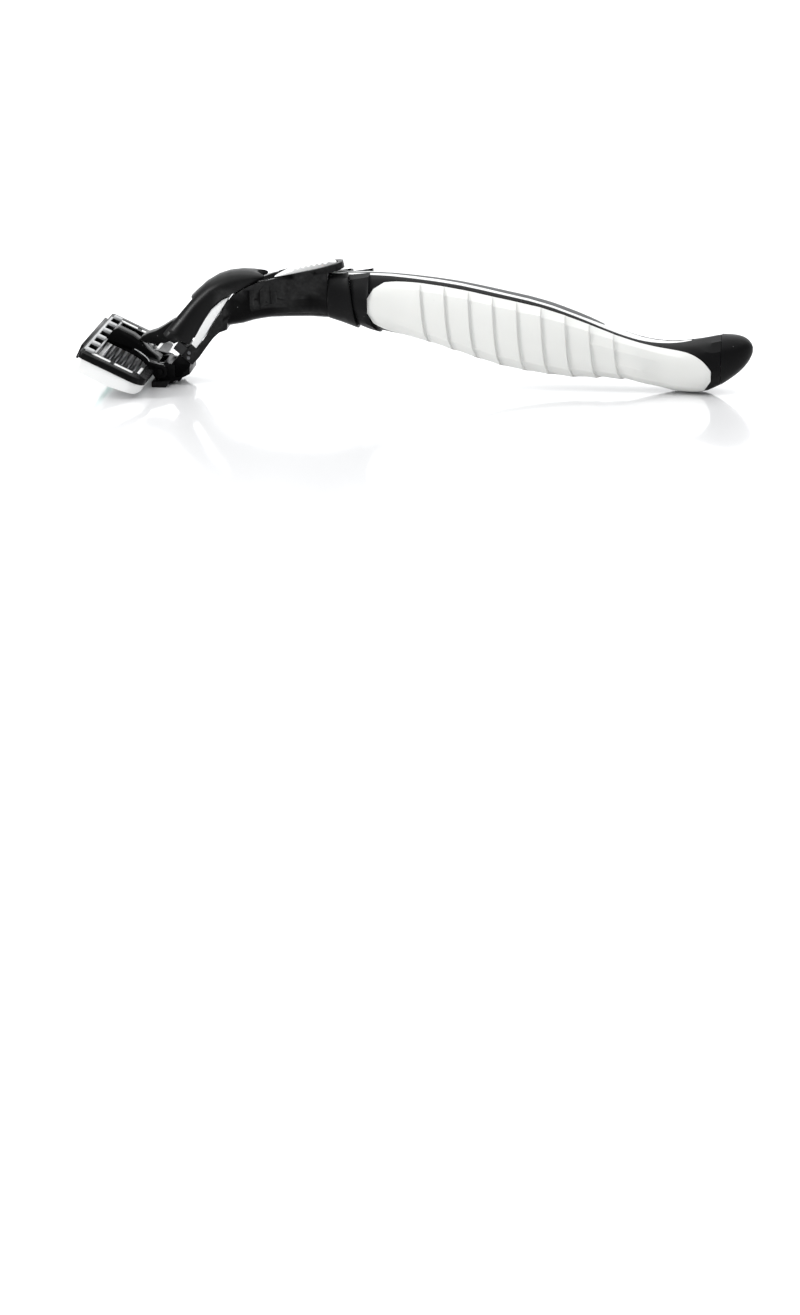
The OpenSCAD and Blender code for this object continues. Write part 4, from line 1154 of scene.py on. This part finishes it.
@dataclass
class Studio:
    """Pale floor, soft lights and the camera.

    Attributes:
        effects: The shared node groups.
        azimuth: Camera's turn round the razor, in degrees.
        elevation: Camera's height above the horizon, in degrees.
        distance: Distance from the origin.
        drop: How far below the origin the camera aims.
        side: How far to the side of the origin it aims.
        lens: Focal length in millimetres.
        floor_colour: Linear colour of the floor.
        floor_roughness: Range of the floor's roughness.
        floor_grain: Scale of its unevenness.
        floor_gap: From the razor's lowest point down to the floor.
        sky_colour: Linear colour of the light from all round.
        sky_strength: Strength of that light.
    """

    effects: EffectLibrary
    azimuth: float = 5.6
    elevation: float = 12.0
    distance: float = 0.9
    drop: float = 57.9 * MM
    side: float = 3.5 * MM
    lens: float = 116.0
    floor_colour: Triple = (0.86, 0.86, 0.865)
    floor_roughness: Pair = (0.3, 0.36)
    floor_grain: float = 300.0
    floor_gap: float = 0.05 * MM
    sky_colour: Triple = (0.96, 0.98, 1.0)
    sky_strength: float = 0.6

    def floor(self) -> None:
        """Lays a pale floor with a clear gloss."""
        bpy.ops.object.select_all(action="DESELECT")
        bpy.ops.mesh.primitive_plane_add(size=6.0, location=(0, 0, -self.floor_gap))
        plane = bpy.context.active_object
        plane.name = "floor"
        mat = bpy.data.materials.new("floor")
        mat.use_nodes = True
        tree = mat.node_tree
        shader = next(n for n in tree.nodes if n.type == "BSDF_PRINCIPLED")
        shader.inputs["Base Color"].default_value = (*self.floor_colour, 1)
        shader.inputs["Coat Weight"].default_value = 1.0
        shader.inputs["Coat IOR"].default_value = 1.75
        shader.inputs["Coat Roughness"].default_value = 0.07
        vector = tree.nodes.new("ShaderNodeTexCoord").outputs["Object"]
        grain = self.effects.place(tree, "moulded_grain", vector)
        grain.inputs["Scale"].default_value = self.floor_grain
        rough = Wiring.span(tree, grain.outputs["Unevenness"], target=self.floor_roughness)
        tree.links.new(rough, shader.inputs["Roughness"])
        plane.data.materials.append(mat)
        plane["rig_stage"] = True

    def lights(self) -> None:
        """Adds light from all round, a large overhead light, a key at the left and a back light."""
        world = bpy.data.worlds.new("studio")
        bpy.context.scene.world = world
        world.use_nodes = True
        sky = next(n for n in world.node_tree.nodes if n.type == "BACKGROUND")
        sky.inputs["Color"].default_value = (*self.sky_colour, 1)
        sky.inputs["Strength"].default_value = self.sky_strength
        for light in (OVERHEAD, KEY, BACK):
            light.build()

    def camera(self) -> None:
        """Sets a long lens at the razor's side, a little above the floor."""
        a = math.radians(self.azimuth)
        e = math.radians(self.elevation)
        back = Vector((math.sin(a) * math.cos(e), -math.cos(a) * math.cos(e), math.sin(e)))
        right = Vector((math.cos(a), math.sin(a), 0))
        up = Vector((-math.sin(a) * math.sin(e), math.cos(a) * math.sin(e), math.cos(e)))
        data = bpy.data.cameras.new("camera")
        data.lens = self.lens
        data.clip_start = 0.01
        obj = bpy.data.objects.new("camera", data)
        obj.location = back * self.distance
        aim = -right * self.side - up * self.drop
        obj.rotation_euler = (aim - obj.location).to_track_quat("-Z", "Y").to_euler()
        bpy.context.scene.collection.objects.link(obj)
        bpy.context.scene.camera = obj
        bpy.context.scene.view_settings.view_transform = "Standard"

    def build(self) -> None:
        """Sets up floor, lights and camera."""
        self.floor()
        self.lights()
        self.camera()
        LOG.info("studio: lens %.0f mm at %.2f m", self.lens, self.distance)


@dataclass
class SizeLog:
    """Keeps the razor's box before and after the looks are added.

    Attributes:
        boxes: Lowest and highest corner of each box, by name.
    """

    boxes: dict[str, list] = field(default_factory=dict)

    @staticmethod
    def _plain(value: object) -> object:
        """Turns vectors and tuples into plain lists of numbers.

        Args:
            value: A number, or vectors or tuples of numbers.

        Returns:
            The number, or lists of the numbers.
        """
        if isinstance(value, (int, float)):
            return float(value)
        return [SizeLog._plain(v) for v in value]

    def keep(self, name: str) -> None:
        """Notes the present box.

        Args:
            name: Name of the box.
        """
        self.boxes[name] = self._plain(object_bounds())


def main() -> None:
    """Builds the razor's looks and the studio."""
    logging.basicConfig(level=logging.INFO, format="%(name)s: %(message)s")
    sizes = SizeLog()
    sizes.keep("loaded")
    effects = EffectLibrary()
    effects.build()
    for part in (Handle(effects), Neck(effects), Cartridge(effects)):
        part.build()
    Studio(effects).build()
    sizes.keep("finished")


if __name__ == "__main__":
    main()
